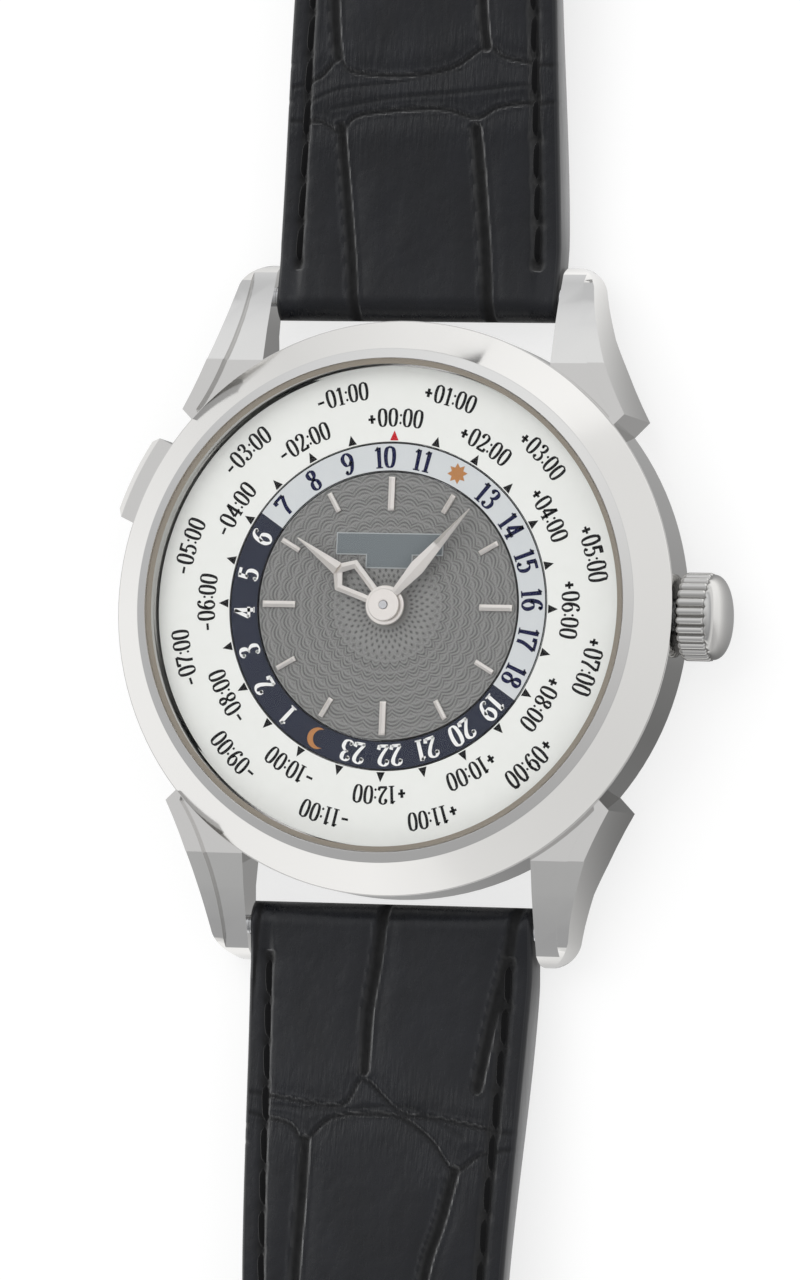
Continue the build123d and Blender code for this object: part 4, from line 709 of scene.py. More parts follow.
makeBezel()
makeCrystal()
makeBackRing()
makeCrown()
refinePiece("mid_case", whiteGold, "case", "case_metal", caseSizes["lugBevel"])
refinePiece("pusher", whiteGold, "pusher", "crown_metal", caseSizes["pusherBevel"])
refinePiece("buckle_frame", whiteGold, "buckle", "buckle_metal", caseSizes["frameBevel"])
refinePiece("buckle_tongue", whiteGold, "tongue", "buckle_metal", caseSizes["tongueBevel"])
refinePiece("buckle_bar", polishedSteel, "buckle", "steel")
print("case made")


# Dial: engine-turned centre, plaque, markers
dialSizes = {"innerRadius": 1.02, "outerRadius": 8.93, "rimInset": 0.12, "rimRound": (0.03, 0.04), "rows": 168,
             "columns": 576, "waves": 36, "tickStart": 1.5, "tickPitch": 0.36, "tickEnd": 5.0, "tickFade": 2.2,
             "tickWidth": 0.07, "tickShare": 0.3, "tickDepth": 0.05, "scallopStart": 2.88, "scallopPitch": 0.78,
             "scallopFade": 1.2, "scallopDepth": 0.036, "scallopLines": 3.0, "scallopSwing": 0.42,
             "linePower": 1.4, "bundleFade": 0.85}


def engineTurning(r, a):
    # Near the hub: rows of short radial cuts, exp(-(side / width)^2) across and along, every second row half a step
    # on. Further out: bundles of scalloped lines cos(lines * (v - swing * |sin(waves / 2 * a)|)), each bundle half
    # a scallop on from the one inside it, and fainter where two bundles meet.
    s = dialSizes
    row = (r - s["tickStart"]) / s["tickPitch"]
    index = np.floor(row)
    across = (a * s["waves"] / (2 * np.pi) + 0.5 * (index % 2)) % 1 - 0.5
    side = across * 2 * np.pi * r / s["waves"]
    tick = np.exp(-(side / s["tickWidth"]) ** 2 - ((row - index - 0.5) / s["tickShare"]) ** 2)
    tick *= np.clip((s["tickEnd"] - r) / s["tickFade"], 0, 1) * (r > s["tickStart"])
    row = (r - s["scallopStart"]) / s["scallopPitch"]
    index = np.floor(row)
    v = row - index
    swing = s["scallopSwing"] * np.abs(np.sin(s["waves"] / 2 * a + np.pi / 2 * index))
    lines = (0.5 - 0.5 * np.cos(2 * np.pi * s["scallopLines"] * (v - swing))) ** s["linePower"]
    lines *= 1 - s["bundleFade"] * np.abs(2 * v - 1) ** 3
    lines *= np.clip((r - s["scallopStart"]) / s["scallopFade"], 0, 1)
    return s["tickDepth"] * tick + s["scallopDepth"] * lines


def makeDial():
    s = dialSizes
    low, high = nodeBox("dial_centre")
    r = np.linspace(s["innerRadius"], s["outerRadius"] - s["rimInset"], s["rows"])[:, None]
    a = np.linspace(0, 2 * np.pi, s["columns"], endpoint=False)[None]
    inset, drop = s["rimRound"]
    rim = np.array([(s["outerRadius"] - inset, high[2]), (s["outerRadius"], high[2] - drop),
                    (s["outerRadius"], low[2]), (s["innerRadius"], low[2])])
    radius = np.vstack([r, rim[:, :1]])
    z = np.vstack([high[2] - engineTurning(r, a), np.repeat(rim[:, 1:], s["columns"], 1)])
    dial = makePiece("dialEngineTurned", gridPoints(radius * np.cos(a), radius * np.sin(a), z),
                     gridFaces(len(radius), s["columns"], True, True), dialFinish, "case", "dial_grey",
                     ("dial_centre",), 60)
    # the depth of each cut, which darkens the enamel colour: partly thicker enamel, partly painted shade
    level = readVectors(dial.data.vertices, "co")[:, 2]
    writeValues(dial.data, "relief", np.clip((high[2] * mm - level) / (s["scallopDepth"] * mm), 0, 1))


plaqueSizes = {"wide": 3.62, "narrow": 1.54, "top": 4.8, "step": 3.47, "bottom": 2.58, "rim": 0.075,
               "rimHeight": 0.06, "height": 0.09, "sink": 0.01}


def plaqueOutline(grow):
    # a wide bar over a narrower one, the two centred
    s = plaqueSizes
    wide, narrow, top = s["wide"] + grow, s["narrow"] + grow, s["top"] + grow
    step, bottom = s["step"] - grow, s["bottom"] - grow
    return [(-wide, top), (-wide, step), (-narrow, step), (-narrow, bottom), (narrow, bottom), (narrow, step),
            (wide, step), (wide, top)]


def makePlaque():
    s = plaqueSizes
    level = nodeBox("dial_centre")[1][2]
    rim = slab(plaqueOutline(s["rim"]), level - s["sink"], level + s["rimHeight"])
    makePiece("plaqueRim", *rim, plaqueEdge, "case", "dial_grey")
    makePiece("plaqueField", *slab(plaqueOutline(0.0), level, level + s["height"]), plaqueLacquer, "case", "dial_grey")


markerSizes = {"longLength": 2.25, "longWidth": 0.42, "longRadius": 7.5, "shortLength": 1.4, "shortWidth": 0.33,
               "shortRadius": 7.91, "shoulder": 0.6, "endSlope": 0.12}


def makeMarkers():
    # a bar with a ridge down its middle that slopes away at both ends: five points across, four stations along
    s = markerSizes
    low, high = nodeBox("hour_markers")
    wall = low[2] + (high[2] - low[2]) * s["shoulder"]
    level = np.array([low[2], wall, high[2], wall, low[2]])
    z = np.stack([np.minimum(level, wall), level, level, np.minimum(level, wall)])
    parts = []
    for hour in range(12):
        kind = "long" if hour % 3 == 0 else "short"
        half, width = s[kind + "Length"] / 2, s[kind + "Width"] / 2
        along = np.array([-half, s["endSlope"] - half, half - s["endSlope"], half])
        radial = s[kind + "Radius"] + along[:, None]
        across = np.array([-width, -width, 0, width, width])
        a = math.radians(90 - 30 * hour)
        points = gridPoints(radial * math.cos(a) - across * math.sin(a), radial * math.sin(a) + across * math.cos(a), z)
        parts.append((points, tubeFaces(4, 5)))
    makePiece("markersFaceted", *joinParts(parts), handGold, "case", "marker_metal", ("hour_markers",), 10)


makeDial()
makePlaque()
makeMarkers()
print("dial made")


# Printed numerals. Strokes are centre lines on a cap height of 1; the pen is wide on uprights and thin across.
pen = {"thin": 0.05, "stem": 0.155, "heavyShare": 0.36, "swellPower": 1.5, "raise": 0.012, "sink": 0.004,
       "advance": 0.66, "indent": 0.04, "spanSteps": 7, "dotPoints": 12}
digitStrokes = {
    "0": [[(0.29, 0.975), (0.13, 0.86), (0.075, 0.5), (0.13, 0.14), (0.29, 0.025), (0.45, 0.14), (0.505, 0.5),
           (0.45, 0.86), (0.29, 0.975)]],
    "1": [[(0.24, 0.96), (0.24, 0.02)], [(0.23, 0.95), (0.14, 0.86), (0.05, 0.83)], [(0.06, 0.025), (0.42, 0.025)]],
    "2": [[(0.09, 0.72), (0.12, 0.88), (0.27, 0.97), (0.44, 0.87), (0.45, 0.68), (0.32, 0.42), (0.15, 0.2),
           (0.05, 0.08)], [(0.04, 0.07), (0.5, 0.07)], [(0.5, 0.04), (0.55, 0.24)]],
    "3": [[(0.1, 0.78), (0.14, 0.9), (0.27, 0.97), (0.41, 0.88), (0.41, 0.68), (0.3, 0.56), (0.18, 0.53)],
          [(0.2, 0.53), (0.36, 0.49), (0.48, 0.34), (0.43, 0.11), (0.25, 0.025), (0.11, 0.08), (0.07, 0.2)]],
    "4": [[(0.4, 0.95), (0.04, 0.29)], [(0.03, 0.28), (0.56, 0.28)], [(0.4, 0.97), (0.4, 0.02)],
          [(0.25, 0.025), (0.55, 0.025)]],
    "5": [[(0.14, 0.91), (0.5, 0.91)], [(0.15, 0.95), (0.11, 0.5)], [(0.11, 0.52), (0.26, 0.6), (0.42, 0.52),
          (0.48, 0.31), (0.4, 0.1), (0.22, 0.025), (0.09, 0.09), (0.06, 0.18)]],
    "6": [[(0.47, 0.84), (0.42, 0.95), (0.32, 0.97), (0.17, 0.82), (0.08, 0.5), (0.1, 0.2), (0.29, 0.025),
           (0.47, 0.16), (0.49, 0.36), (0.38, 0.57), (0.22, 0.57), (0.1, 0.42)]],
    "7": [[(0.06, 0.91), (0.54, 0.91)], [(0.06, 0.95), (0.04, 0.74)], [(0.53, 0.9), (0.36, 0.55), (0.27, 0.3),
          (0.24, 0.02)]],
    "8": [[(0.29, 0.97), (0.15, 0.87), (0.15, 0.68), (0.29, 0.53), (0.45, 0.38), (0.46, 0.14), (0.29, 0.025),
           (0.12, 0.14), (0.13, 0.38), (0.29, 0.53), (0.42, 0.68), (0.42, 0.87), (0.29, 0.97)]],
    "+": [[(0.06, 0.45), (0.5, 0.45)], [(0.28, 0.22), (0.28, 0.68)]],
    "-": [[(0.08, 0.45), (0.48, 0.45)]],
    ":": []}
digitStrokes["9"] = [[(0.58 - x, 1 - y) for x, y in line] for line in digitStrokes["6"]]
digitDots = {"2": [(0.12, 0.76, 0.085)], "3": [(0.13, 0.8, 0.08), (0.12, 0.17, 0.08)], "5": [(0.11, 0.16, 0.085)],
             "6": [(0.44, 0.87, 0.075)], "9": [(0.14, 0.13, 0.075)], ":": [(0.1, 0.2, 0.07), (0.1, 0.62, 0.07)]}
heavyStrokes = {"2": (1,), "5": (0,), "7": (0,), "4": (1,), "+": (0, 1), "-": (0,)}
advance = {"1": 0.5, ":": 0.24}


def strokeSides(line, heavy, weight):
    # half width = (thin + (stem - thin) * |vertical share of the direction| ^ power) / 2
    path = smoothPath(line, pen["spanSteps"])
    direction = np.gradient(path, axis=0)
    direction /= np.linalg.norm(direction, axis=1)[:, None]
    half = weight * (pen["thin"] + (pen["stem"] - pen["thin"]) * np.abs(direction[:, 1]) ** pen["swellPower"]) / 2
    if heavy:
        half = np.maximum(half, weight * pen["stem"] * pen["heavyShare"])
    side = np.column_stack([-direction[:, 1], direction[:, 0]]) * half[:, None]
    return path + side, path - side


def inkLevels(top):
    return top - pen["sink"], top + pen["raise"]


def textParts(text, height, squeeze, top, bend, weight=1.0):
    # each stroke is a closed ribbon with four points round its section, bent onto the ring by `bend`
    low, high = inkLevels(top)
    cursor = pen["indent"] - sum(advance.get(c, pen["advance"]) for c in text) / 2
    parts = []
    for c in text:
        for index, line in enumerate(digitStrokes[c]):
            left, right = strokeSides(line, index in heavyStrokes.get(c, ()), weight)
            flat = np.stack([left, right, right, left], 1)
            place = bend((flat[..., 0] + cursor) * height * squeeze, flat[..., 1] * height)
            points = gridPoints(place[..., 0], place[..., 1], np.array([high, high, low, low]))
            parts.append((points, tubeFaces(len(left), 4)))
        for x, y, r in digitDots.get(c, []):
            t = np.linspace(0, 2 * np.pi, pen["dotPoints"], endpoint=False)
            parts.append(slab(bend((x + r * np.cos(t) + cursor) * height * squeeze, (y + r * np.sin(t)) * height),
                              low, high))
        cursor += advance.get(c, pen["advance"])
    return parts


def ringBend(clock, baseRadius, height):
    # x runs clockwise along the ring at mid height, y runs outwards
    middle = baseRadius + height / 2

    def bend(x, y):
        return clockPoint(baseRadius + y, clock + np.degrees(x / middle))
    return bend


# 24-hour ring: pale by day, slate by night, turned a little as in the photograph
hourRing = {"turn": -3.4, "topHour": 10, "dayStart": 6.5, "dayEnd": 18.5, "innerRadius": 9.0, "outerRadius": 10.93,
            "line": 0.07, "lineRaise": 0.006, "digitHeight": 1.45, "squeeze": 0.94, "baseRadius": 9.24,
            "weight": 1.25, "sunRadius": 0.7, "sunPoints": 8, "sunInner": 0.62, "moonRadius": 0.72,
            "moonReach": 118, "moonShare": (0.86, 0.93), "moonShift": -0.3, "moonTurn": 70}


def ringAngle(hour):
    return (hour - hourRing["topHour"]) * 15 + hourRing["turn"]


def ringSector(start, end, inner, outer, low, high):
    # part of a flat ring between two clock angles: a rectangle carried along the arc, closed at both ends
    a = np.linspace(start, end, max(2, int(end - start)))
    section = [(inner, low), (outer, low), (outer, high), (inner, high)]
    return levelRows([(clockPoint(r, a), z) for r, z in section]), tubeFaces(len(a), 4)


def makeHourRing():
    h = hourRing
    low, high = nodeBox("hour_ring")
    top = high[2]
    place = ("hour_ring", "hour_ring_paint")
    for name, start, end, finish in (("hourRingDay", h["dayStart"], h["dayEnd"], dayLacquer),
                                     ("hourRingNight", h["dayEnd"], h["dayStart"] + 24, nightLacquer)):
        makePiece(name, *ringSector(ringAngle(start), ringAngle(end), h["innerRadius"], h["outerRadius"], low[2], top),
                  finish, *place, ("hour_ring",))
    numerals = {True: [], False: []}
    for hour in (hour for hour in range(1, 24) if hour != 12):
        bend = ringBend(ringAngle(hour), h["baseRadius"], h["digitHeight"])
        numerals[h["dayStart"] < hour < h["dayEnd"]] += textParts(str(hour), h["digitHeight"], h["squeeze"], top,
                                                                  bend, h["weight"])
    makePiece("dayNumerals", *joinParts(numerals[True]), navyInk, *place)
    makePiece("nightNumerals", *joinParts(numerals[False]), whiteInk, *place)
    edges = [ringSector(0, 360, r, r + h["line"], top - pen["sink"], top + h["lineRaise"])
             for r in (h["innerRadius"], h["outerRadius"] - h["line"])]
    makePiece("hourRingEdges", *joinParts(edges), blackInk, *place)
    # the sun stands at 12 and the moon, a crescent between two arcs, at 24
    middle = h["baseRadius"] + h["digitHeight"] / 2
    k = np.arange(2 * h["sunPoints"])
    sun = clockPoint(h["sunRadius"] * np.where(k % 2, h["sunInner"], 1.0), k * 180 / h["sunPoints"])
    a = np.linspace(-h["moonReach"], h["moonReach"], 25)
    size, bow = h["moonShare"]
    inner = clockPoint(h["moonRadius"] * size, a[::-1] * bow) + (0, h["moonShift"])
    moon = turned(np.vstack([clockPoint(h["moonRadius"], a), inner[1:-1]]), -ringAngle(24) - h["moonTurn"])
    makePiece("sunMark", *slab(sun + clockPoint(middle, ringAngle(12)), *inkLevels(top)), copperInk, *place)
    makePiece("moonMark", *slab(moon + clockPoint(middle, ringAngle(24)), *inkLevels(top)), copperInk, *place)


makeHourRing()

# City ring: plain offsets from the reference time, in two staggered rows
cityRing = {"innerRadius": 11.0, "edge": 0.03, "segments": 288, "height": 1.24, "innerRow": 12.0, "outerRow": 13.9,
            "squeeze": 0.9, "weight": 1.12, "triangleBase": 0.6, "triangleHeight": 0.66, "triangleRadius": 11.08}


def offsetText(step):
    hours = step if step <= 12 else step - 24
    return f"{'-' if hours < 0 else '+'}{abs(hours):02d}:00"


def makeCityRing():
    c = cityRing
    low, high = nodeBox("city_disc")
    top = high[2]
    place = ("city_disc", "city_ring_paint")
    corners = [(high[0], low[2]), (high[0], top), (c["innerRadius"], top), (c["innerRadius"], low[2])]
    makePiece("cityDiscLacquered", *lathe(roundedProfile(corners, c["edge"], 2), c["segments"]), cityLacquer,
              *place, ("city_disc",))
    labels, pointers = [], []
    half, height = c["triangleBase"] / 2, c["triangleHeight"]
    for step in range(24):
        bend = ringBend(step * 15, c["outerRow"] if step % 2 else c["innerRow"], c["height"])
        labels += textParts(offsetText(step), c["height"], c["squeeze"], top, bend, c["weight"])
        bend = ringBend(step * 15, c["triangleRadius"], height)
        pointers.append(slab(bend(np.array([-half, 0, half]), np.array([0, height, 0])), *inkLevels(top)))
    makePiece("cityOffsets", *joinParts(labels), blackInk, *place)
    makePiece("topPointer", *pointers[0], redInk, *place)
    makePiece("hourPointers", *joinParts(pointers[1:]), blackInk, *place)


makeCityRing()
print("rings made")


# Hands: facets that rise from both edges to a ridge. Outlines are shares of a hand's length and half width.
handSizes = {"hourLength": 7.64, "hourHalf": 1.24, "hourHub": 1.33, "hourAngle": 144.8, "pipeRadius": 0.95,
             "minuteLength": 8.62, "minuteHalf": 0.52, "minuteHub": 1.08, "minuteAngle": 49.0, "pinRadius": 0.28,
             "edge": 0.35, "hubRound": 0.07, "hubSegments": 96}
minuteSide = [(0.09, 0.42), (0.24, 0.72), (0.385, 1.0), (0.62, 0.64), (1.0, 0.05)]
hourSide = [(0.13, 0.46), (0.45, 1.0), (0.545, 0.365), (1.0, 0.03)]
hourWindow = [(0.165, 0.125), (0.423, 0.56), (0.49, 0.0)]


def facetPart(first, second, angle, low, high, closed=False):
    # two edges with equally many points and a ridge halfway between them; a closed one is a frame
    edge = low + (high - low) * handSizes["edge"]
    rows = [(first, low), (first, edge), ((first + second) / 2, high), (second, edge), (second, low)]
    points = levelRows([(turned(line, angle), level) for line, level in rows])
    return points, gridFaces(len(first), 5, True, True) if closed else tubeFaces(len(first), 5)


def hubPart(radius, hole, low, high):
    corners = [(hole, low), (radius, low), (radius, high), (hole, high)]
    return lathe(roundedProfile(corners, handSizes["hubRound"], 3), handSizes["hubSegments"])


def makeHands():
    s = handSizes
    flip = (1, -1)
    low, high = (corner[2] for corner in nodeBox("minute_hand"))
    side = np.array(minuteSide) * (s["minuteLength"], s["minuteHalf"])
    parts = [facetPart(side * flip, side, s["minuteAngle"], low, high),
             hubPart(s["minuteHub"], s["pinRadius"], low, high)]
    makePiece("minuteHandLeaf", *joinParts(parts), handGold, "minute_train", "hand_metal", ("minute_hand",), 12)
    low, high = (corner[2] for corner in nodeBox("hour_hand"))
    side, window = (np.array(line) * (s["hourLength"], s["hourHalf"]) for line in (hourSide, hourWindow))
    neck, hole = (np.vstack([line, line[::-1] * flip]) for line in (side[:3], window))
    parts = [facetPart(neck, hole, s["hourAngle"], low, high, True),
             facetPart(side[2:] * flip, side[2:], s["hourAngle"], low, high),
             hubPart(s["hourHub"], s["pipeRadius"], low, high)]
    makePiece("hourHandOpenwork", *joinParts(parts), handGold, "hour_train", "hand_metal", ("hour_hand",), 12)


makeHands()
print("hands made")


# Straps. u is the distance outwards from the spring bar, x runs across.
strapSizes = {"barDistance": 21.2, "barLevel": 3.2, "eyeRadius": 1.6, "eyeStart": 0.12, "eyeSteps": 14,
              "barEndLevel": 1.97, "barEndRadius": 1.12, "barEndTurn": 1.45, "cornerRadius": 0.45,
              "fineGrid": 0.13, "coarseGrid": 0.32, "fineReach": 34.0, "columns": 132, "underColumns": 16,
              "tipLength": 11.0, "tipPower": 2.6, "tipLimit": 0.9993, "tipSteps": (0.21, 0.12, 0.045, 0.0),
              "cornerShare": 0.45, "lowCornerShare": 0.4, "tipCornerShare": 0.5, "fullThickness": 2.0,
              "sideShare": 0.75}
leather = {"pillow": 0.16, "pillowReach": 0.9, "edgeDrop": 0.42, "marginPlace": 0.15, "marginBlend": 0.12,
           "marginCrease": 0.35, "crown": 0.25, "endEase": 5.0, "mainDepth": 0.3, "mainWiden": 1.35,
           "crossDepth": 0.25, "borderDepth": 0.12, "lip": 0.09, "lipPlace": 1.4, "lipWidth": 0.14,
           "crossLip": 0.5, "furrowDepth": 0.22, "furrowWidth": 0.38, "pitDepth": 0.34, "pitWidth": 0.32,
           "wrinkleReach": 1.9, "fullCrease": 0.28, "furrowShade": 0.8, "fullPit": 0.2, "farAway": 50.0}
stitching = {"inset": 1.5, "pitch": 2.8, "start": 2.2, "buckleEnd": 4.0, "runOn": 0.4, "gap": 0.18, "slant": 0.12,
             "radius": 0.27, "arch": 0.16, "stations": 9, "around": 8, "topSink": 0.25, "topFlat": 0.75,
             "underLift": 0.16, "underFlat": 0.35}
closure = {"slotHalf": 1.3, "slotStart": 88.4, "slotEnd": 96.0, "holeRadius": 0.8, "lastHole": -109.2,
           "holePitch": 6.4, "holes": 7, "holePoints": 24, "cutLevels": (-1.0, 8.0)}
taper = [(0, 9.8), (3.57, 9.8), (22.95, 9.07), (45.9, 8.0), (60, 8.0)]
# Creases between the scales: depth, width, then places (x, u). Near the case they follow the photograph.
shortCreases = [
    (0.36, 0.24, [(-4.2, -1.6), (-4.6, 3.0), (-5.2, 8.7), (-5.45, 11.3)]),
    (0.42, 0.28, [(5.1, -1.6), (4.75, 3.1), (4.2, 9.1), (3.95, 11.2)]),
    (0.2, 0.16, [(-9.8, 11.9), (-8.2, 11.7), (-6.8, 11.6), (-5.5, 10.9), (-4.6, 11.9), (-2.6, 12.3), (1.5, 12.5),
                 (4.0, 11.9), (5.7, 12.7), (9.8, 13.1)]),
    (0.2, 0.16, [(-9.8, 13.9), (-8.3, 14.2), (-6.9, 14.7), (-5.7, 15.9), (-4.8, 15.0), (-1.3, 14.7), (2.2, 15.2),
                 (4.6, 16.7), (6.0, 15.9), (9.8, 15.4)]),
    (0.1, 0.12, [(-8.0, 12.8), (-5.6, 13.8), (-1.3, 14.3), (2.9, 15.1)]),
    (0.09, 0.12, [(-6.0, 12.5), (-2.0, 13.2), (3.0, 13.6), (8.0, 14.2)]),
    (0.36, 0.26, [(-5.75, 16.0), (-5.95, 17.7), (-6.1, 21.0), (-5.9, 27.6)]),
    (0.4, 0.26, [(4.6, 16.7), (4.35, 18.4), (4.1, 22.0), (3.9, 27.9)]),
    (0.2, 0.16, [(-9.2, 28.4), (-7.0, 28.2), (-5.9, 27.6), (-4.6, 28.6), (-1.0, 29.0), (2.6, 28.8), (3.9, 27.9),
                 (5.4, 29.0), (9.2, 29.2)]),
    (0.18, 0.16, [(-9.0, 30.2), (-5.2, 31.6), (-2.0, 30.9), (1.8, 31.2), (4.8, 32.4), (9.0, 31.2)]),
    (0.34, 0.24, [(-5.2, 31.6), (-5.0, 37.0), (-4.9, 42.6)]),
    (0.36, 0.24, [(4.8, 32.4), (4.4, 37.0), (4.2, 42.8)]),
    (0.18, 0.16, [(-8.6, 43.3), (-4.9, 42.6), (-3.0, 43.8), (1.6, 44.0), (4.2, 42.8), (8.6, 44.1)]),
    (0.16, 0.15, [(-8.2, 45.4), (-3.9, 46.6), (0.4, 46.1), (3.6, 47.2), (8.2, 46.2)]),
    (0.3, 0.22, [(-3.9, 46.6), (-3.8, 51.0), (-4.1, 56.8)]),
    (0.3, 0.22, [(3.6, 47.2), (3.9, 52.0), (3.7, 57.2)]),
    (0.16, 0.15, [(-8.2, 57.6), (-4.1, 56.8), (-1.2, 58.2), (3.7, 57.2), (8.2, 58.1)]),
    (0.26, 0.2, [(-2.6, 58.0), (-2.7, 63.0), (-2.5, 71.0)]),
    (0.26, 0.2, [(4.3, 57.6), (4.1, 63.0), (4.2, 71.0)])]
longCreases = [
    (0.4, 0.26, [(-0.4, -1.6), (-0.7, 2.2), (-1.1, 5.6), (-1.15, 9.6)]),
    (0.4, 0.26, [(8.75, -1.6), (8.2, 2.0), (7.4, 6.0), (6.7, 10.6)]),
    (0.3, 0.2, [(-9.1, -1.2), (-9.4, 2.5), (-9.6, 6.0)]),
    (0.18, 0.16, [(-9.6, 11.2), (-6.8, 11.6), (-2.6, 12.0), (-1.15, 10.2), (1.5, 12.3), (4.3, 12.7), (9.6, 13.6)]),
    (0.2, 0.16, [(-9.4, 12.6), (-7.4, 13.0), (-6.0, 13.4), (-4.95, 14.4), (-3.3, 12.9), (-0.9, 12.5), (1.6, 12.7),
                 (3.75, 14.1), (5.5, 16.1), (7.2, 15.0), (9.4, 14.5)]),
    (0.09, 0.12, [(-8.0, 12.1), (-3.0, 12.3), (2.0, 12.0), (6.0, 13.9)]),
    (0.38, 0.26, [(-4.95, 14.4), (-4.95, 18.4), (-5.1, 23.7), (-5.0, 29.4)]),
    (0.38, 0.26, [(5.5, 16.1), (4.8, 19.4), (3.8, 23.4), (3.6, 29.8)]),
    (0.2, 0.16, [(-9.2, 30.2), (-5.0, 29.4), (-3.4, 30.6), (1.2, 30.9), (3.6, 29.8), (5.2, 31.0), (9.2, 31.4)]),
    (0.18, 0.16, [(-9.0, 32.2), (-6.2, 33.4), (-1.0, 32.7), (2.9, 34.0), (9.0, 33.2)]),
    (0.36, 0.25, [(-6.2, 33.4), (-5.6, 39.0), (-5.3, 46.2)]),
    (0.36, 0.25, [(2.9, 34.0), (3.6, 40.0), (3.4, 46.8)]),
    (0.18, 0.16, [(-8.7, 47.1), (-5.3, 46.2), (-2.0, 47.6), (3.4, 46.8), (8.7, 47.9)]),
    (0.16, 0.15, [(-8.4, 49.3), (-4.0, 50.4), (0.8, 49.8), (4.6, 51.0), (8.4, 50.1)]),
    (0.32, 0.22, [(-4.0, 50.4), (-4.2, 56.0), (-3.9, 62.0)]),
    (0.32, 0.22, [(4.6, 51.0), (4.2, 56.0), (4.4, 62.2)]),
    (0.16, 0.15, [(-8.2, 63.0), (-3.9, 62.0), (0.6, 63.4), (4.4, 62.2), (8.2, 63.3)]),
    (0.28, 0.2, [(-2.9, 63.0), (-3.0, 69.0), (-3.1, 75.0)]),
    (0.28, 0.2, [(3.2, 63.0), (3.4, 69.0), (3.1, 75.4)]),
    (0.15, 0.15, [(-8.2, 76.0), (-3.1, 75.0), (0.2, 76.3), (3.1, 75.4), (8.2, 76.2)]),
    (0.26, 0.2, [(-4.3, 76.0), (-4.4, 82.0), (-4.1, 87.6)]),
    (0.26, 0.2, [(3.9, 76.0), (3.7, 82.0), (4.0, 87.8)]),
    (0.15, 0.15, [(-8.2, 88.5), (-4.1, 87.6), (0.4, 88.9), (4.0, 87.8), (8.2, 88.7)]),
    (0.24, 0.2, [(-2.7, 88.6), (-2.8, 94.0), (-2.6, 99.4)]),
    (0.24, 0.2, [(3.1, 88.6), (3.0, 94.0), (2.8, 99.6)]),
    (0.15, 0.15, [(-8.2, 100.4), (-2.6, 99.4), (0.2, 100.8), (2.8, 99.6), (8.2, 100.6)])]
tongueSlot = [(-closure["slotHalf"], closure["slotStart"]), (closure["slotHalf"], closure["slotStart"]),
              (closure["slotHalf"], closure["slotEnd"]), (-closure["slotHalf"], closure["slotEnd"])]
buckleHoles = [disc(closure["holeRadius"], np.linspace(0, 2 * np.pi, closure["holePoints"], endpoint=False))
               + (0, closure["lastHole"] + closure["holePitch"] * k) for k in range(closure["holes"])]
shortStrap = {
    "name": "Short", "side": 1, "length": 71.0, "node": "strap_short", "body": "short_strap",
    "creases": shortCreases, "openings": [tongueSlot],
    "top": [(0, 4.8), (22.8, 6.3), (26.8, 6.35), (36.8, 5.2), (44.8, 3.6), (50, 3.09), (71, 3.09)],
    "bottom": [(0, 1.6), (4.8, 1.15), (22.8, 3.3), (26.8, 3.5), (36.8, 2.6), (44.8, 1.2), (50, 0.85), (71, 0.85)]}
longStrap = {
    "name": "Long", "side": -1, "length": 112.0, "node": "strap_long", "body": "long_strap",
    "creases": longCreases, "openings": buckleHoles,
    "top": [(0, 4.8), (22.8, 6.3), (28.8, 6.35), (40.8, 5.4), (54.8, 3.0), (63, 2.35), (112, 2.35)],
    "bottom": [(0, 1.6), (4.8, 1.15), (22.8, 3.3), (28.8, 3.5), (40.8, 2.6), (54.8, 0.45), (63, 0.02), (112, 0.02)]}


def smoothLevel(places, u):
    # cubic Hermite through (u, level) places, flat at both ends
    knots, levels = np.array(places, float).T
    slopes = np.gradient(levels, knots)
    slopes[0] = slopes[-1] = 0
    steps = np.diff(levels) / np.diff(knots)
    slopes[1:-1] = np.where(steps[1:] * steps[:-1] <= 0, 0, slopes[1:-1])
    i = np.clip(np.searchsorted(knots, u) - 1, 0, len(knots) - 2)
    span = knots[i + 1] - knots[i]
    t = np.clip((u - knots[i]) / span, 0, 1)
    return ((2 * t**3 - 3 * t**2 + 1) * levels[i] + (t**3 - 2 * t**2 + t) * span * slopes[i]
            + (3 * t**2 - 2 * t**3) * levels[i + 1] + (t**3 - t**2) * span * slopes[i + 1])


def distanceToPath(x, u, path):
    # shortest distance from every grid point to a line of straight spans
    path = smoothPath(path, 5)
    nearest = np.full(x.shape, 1e3)
    for (ax, au), (bx, bu) in zip(path[:-1], path[1:]):
        dx, du = bx - ax, bu - au
        t = np.clip(((x - ax) * dx + (u - au) * du) / (dx * dx + du * du + 1e-9), 0, 1)
        nearest = np.minimum(nearest, np.hypot(x - ax - t * dx, u - au - t * du))
    return nearest


def stitchPlaces(spec):
    s = stitching
    end = spec["length"] - (s["buckleEnd"] if spec["side"] > 0 else strapSizes["tipLength"])
    return s["start"] + np.arange(int((end - s["start"]) / s["pitch"]) + 1) * s["pitch"]


def halfWidthAt(spec, u):
    # the taper, and on the long half the rounded tip: half * sqrt(1 - t ^ tipPower)
    s = strapSizes
    half = np.interp(u, *np.array(taper, float).T)
    if spec["side"] < 0:
        t = np.clip((u - spec["length"] + s["tipLength"]) / s["tipLength"], 0, 1)
        half = half * np.sqrt(1 - np.minimum(t, s["tipLimit"]) ** s["tipPower"])
    return half


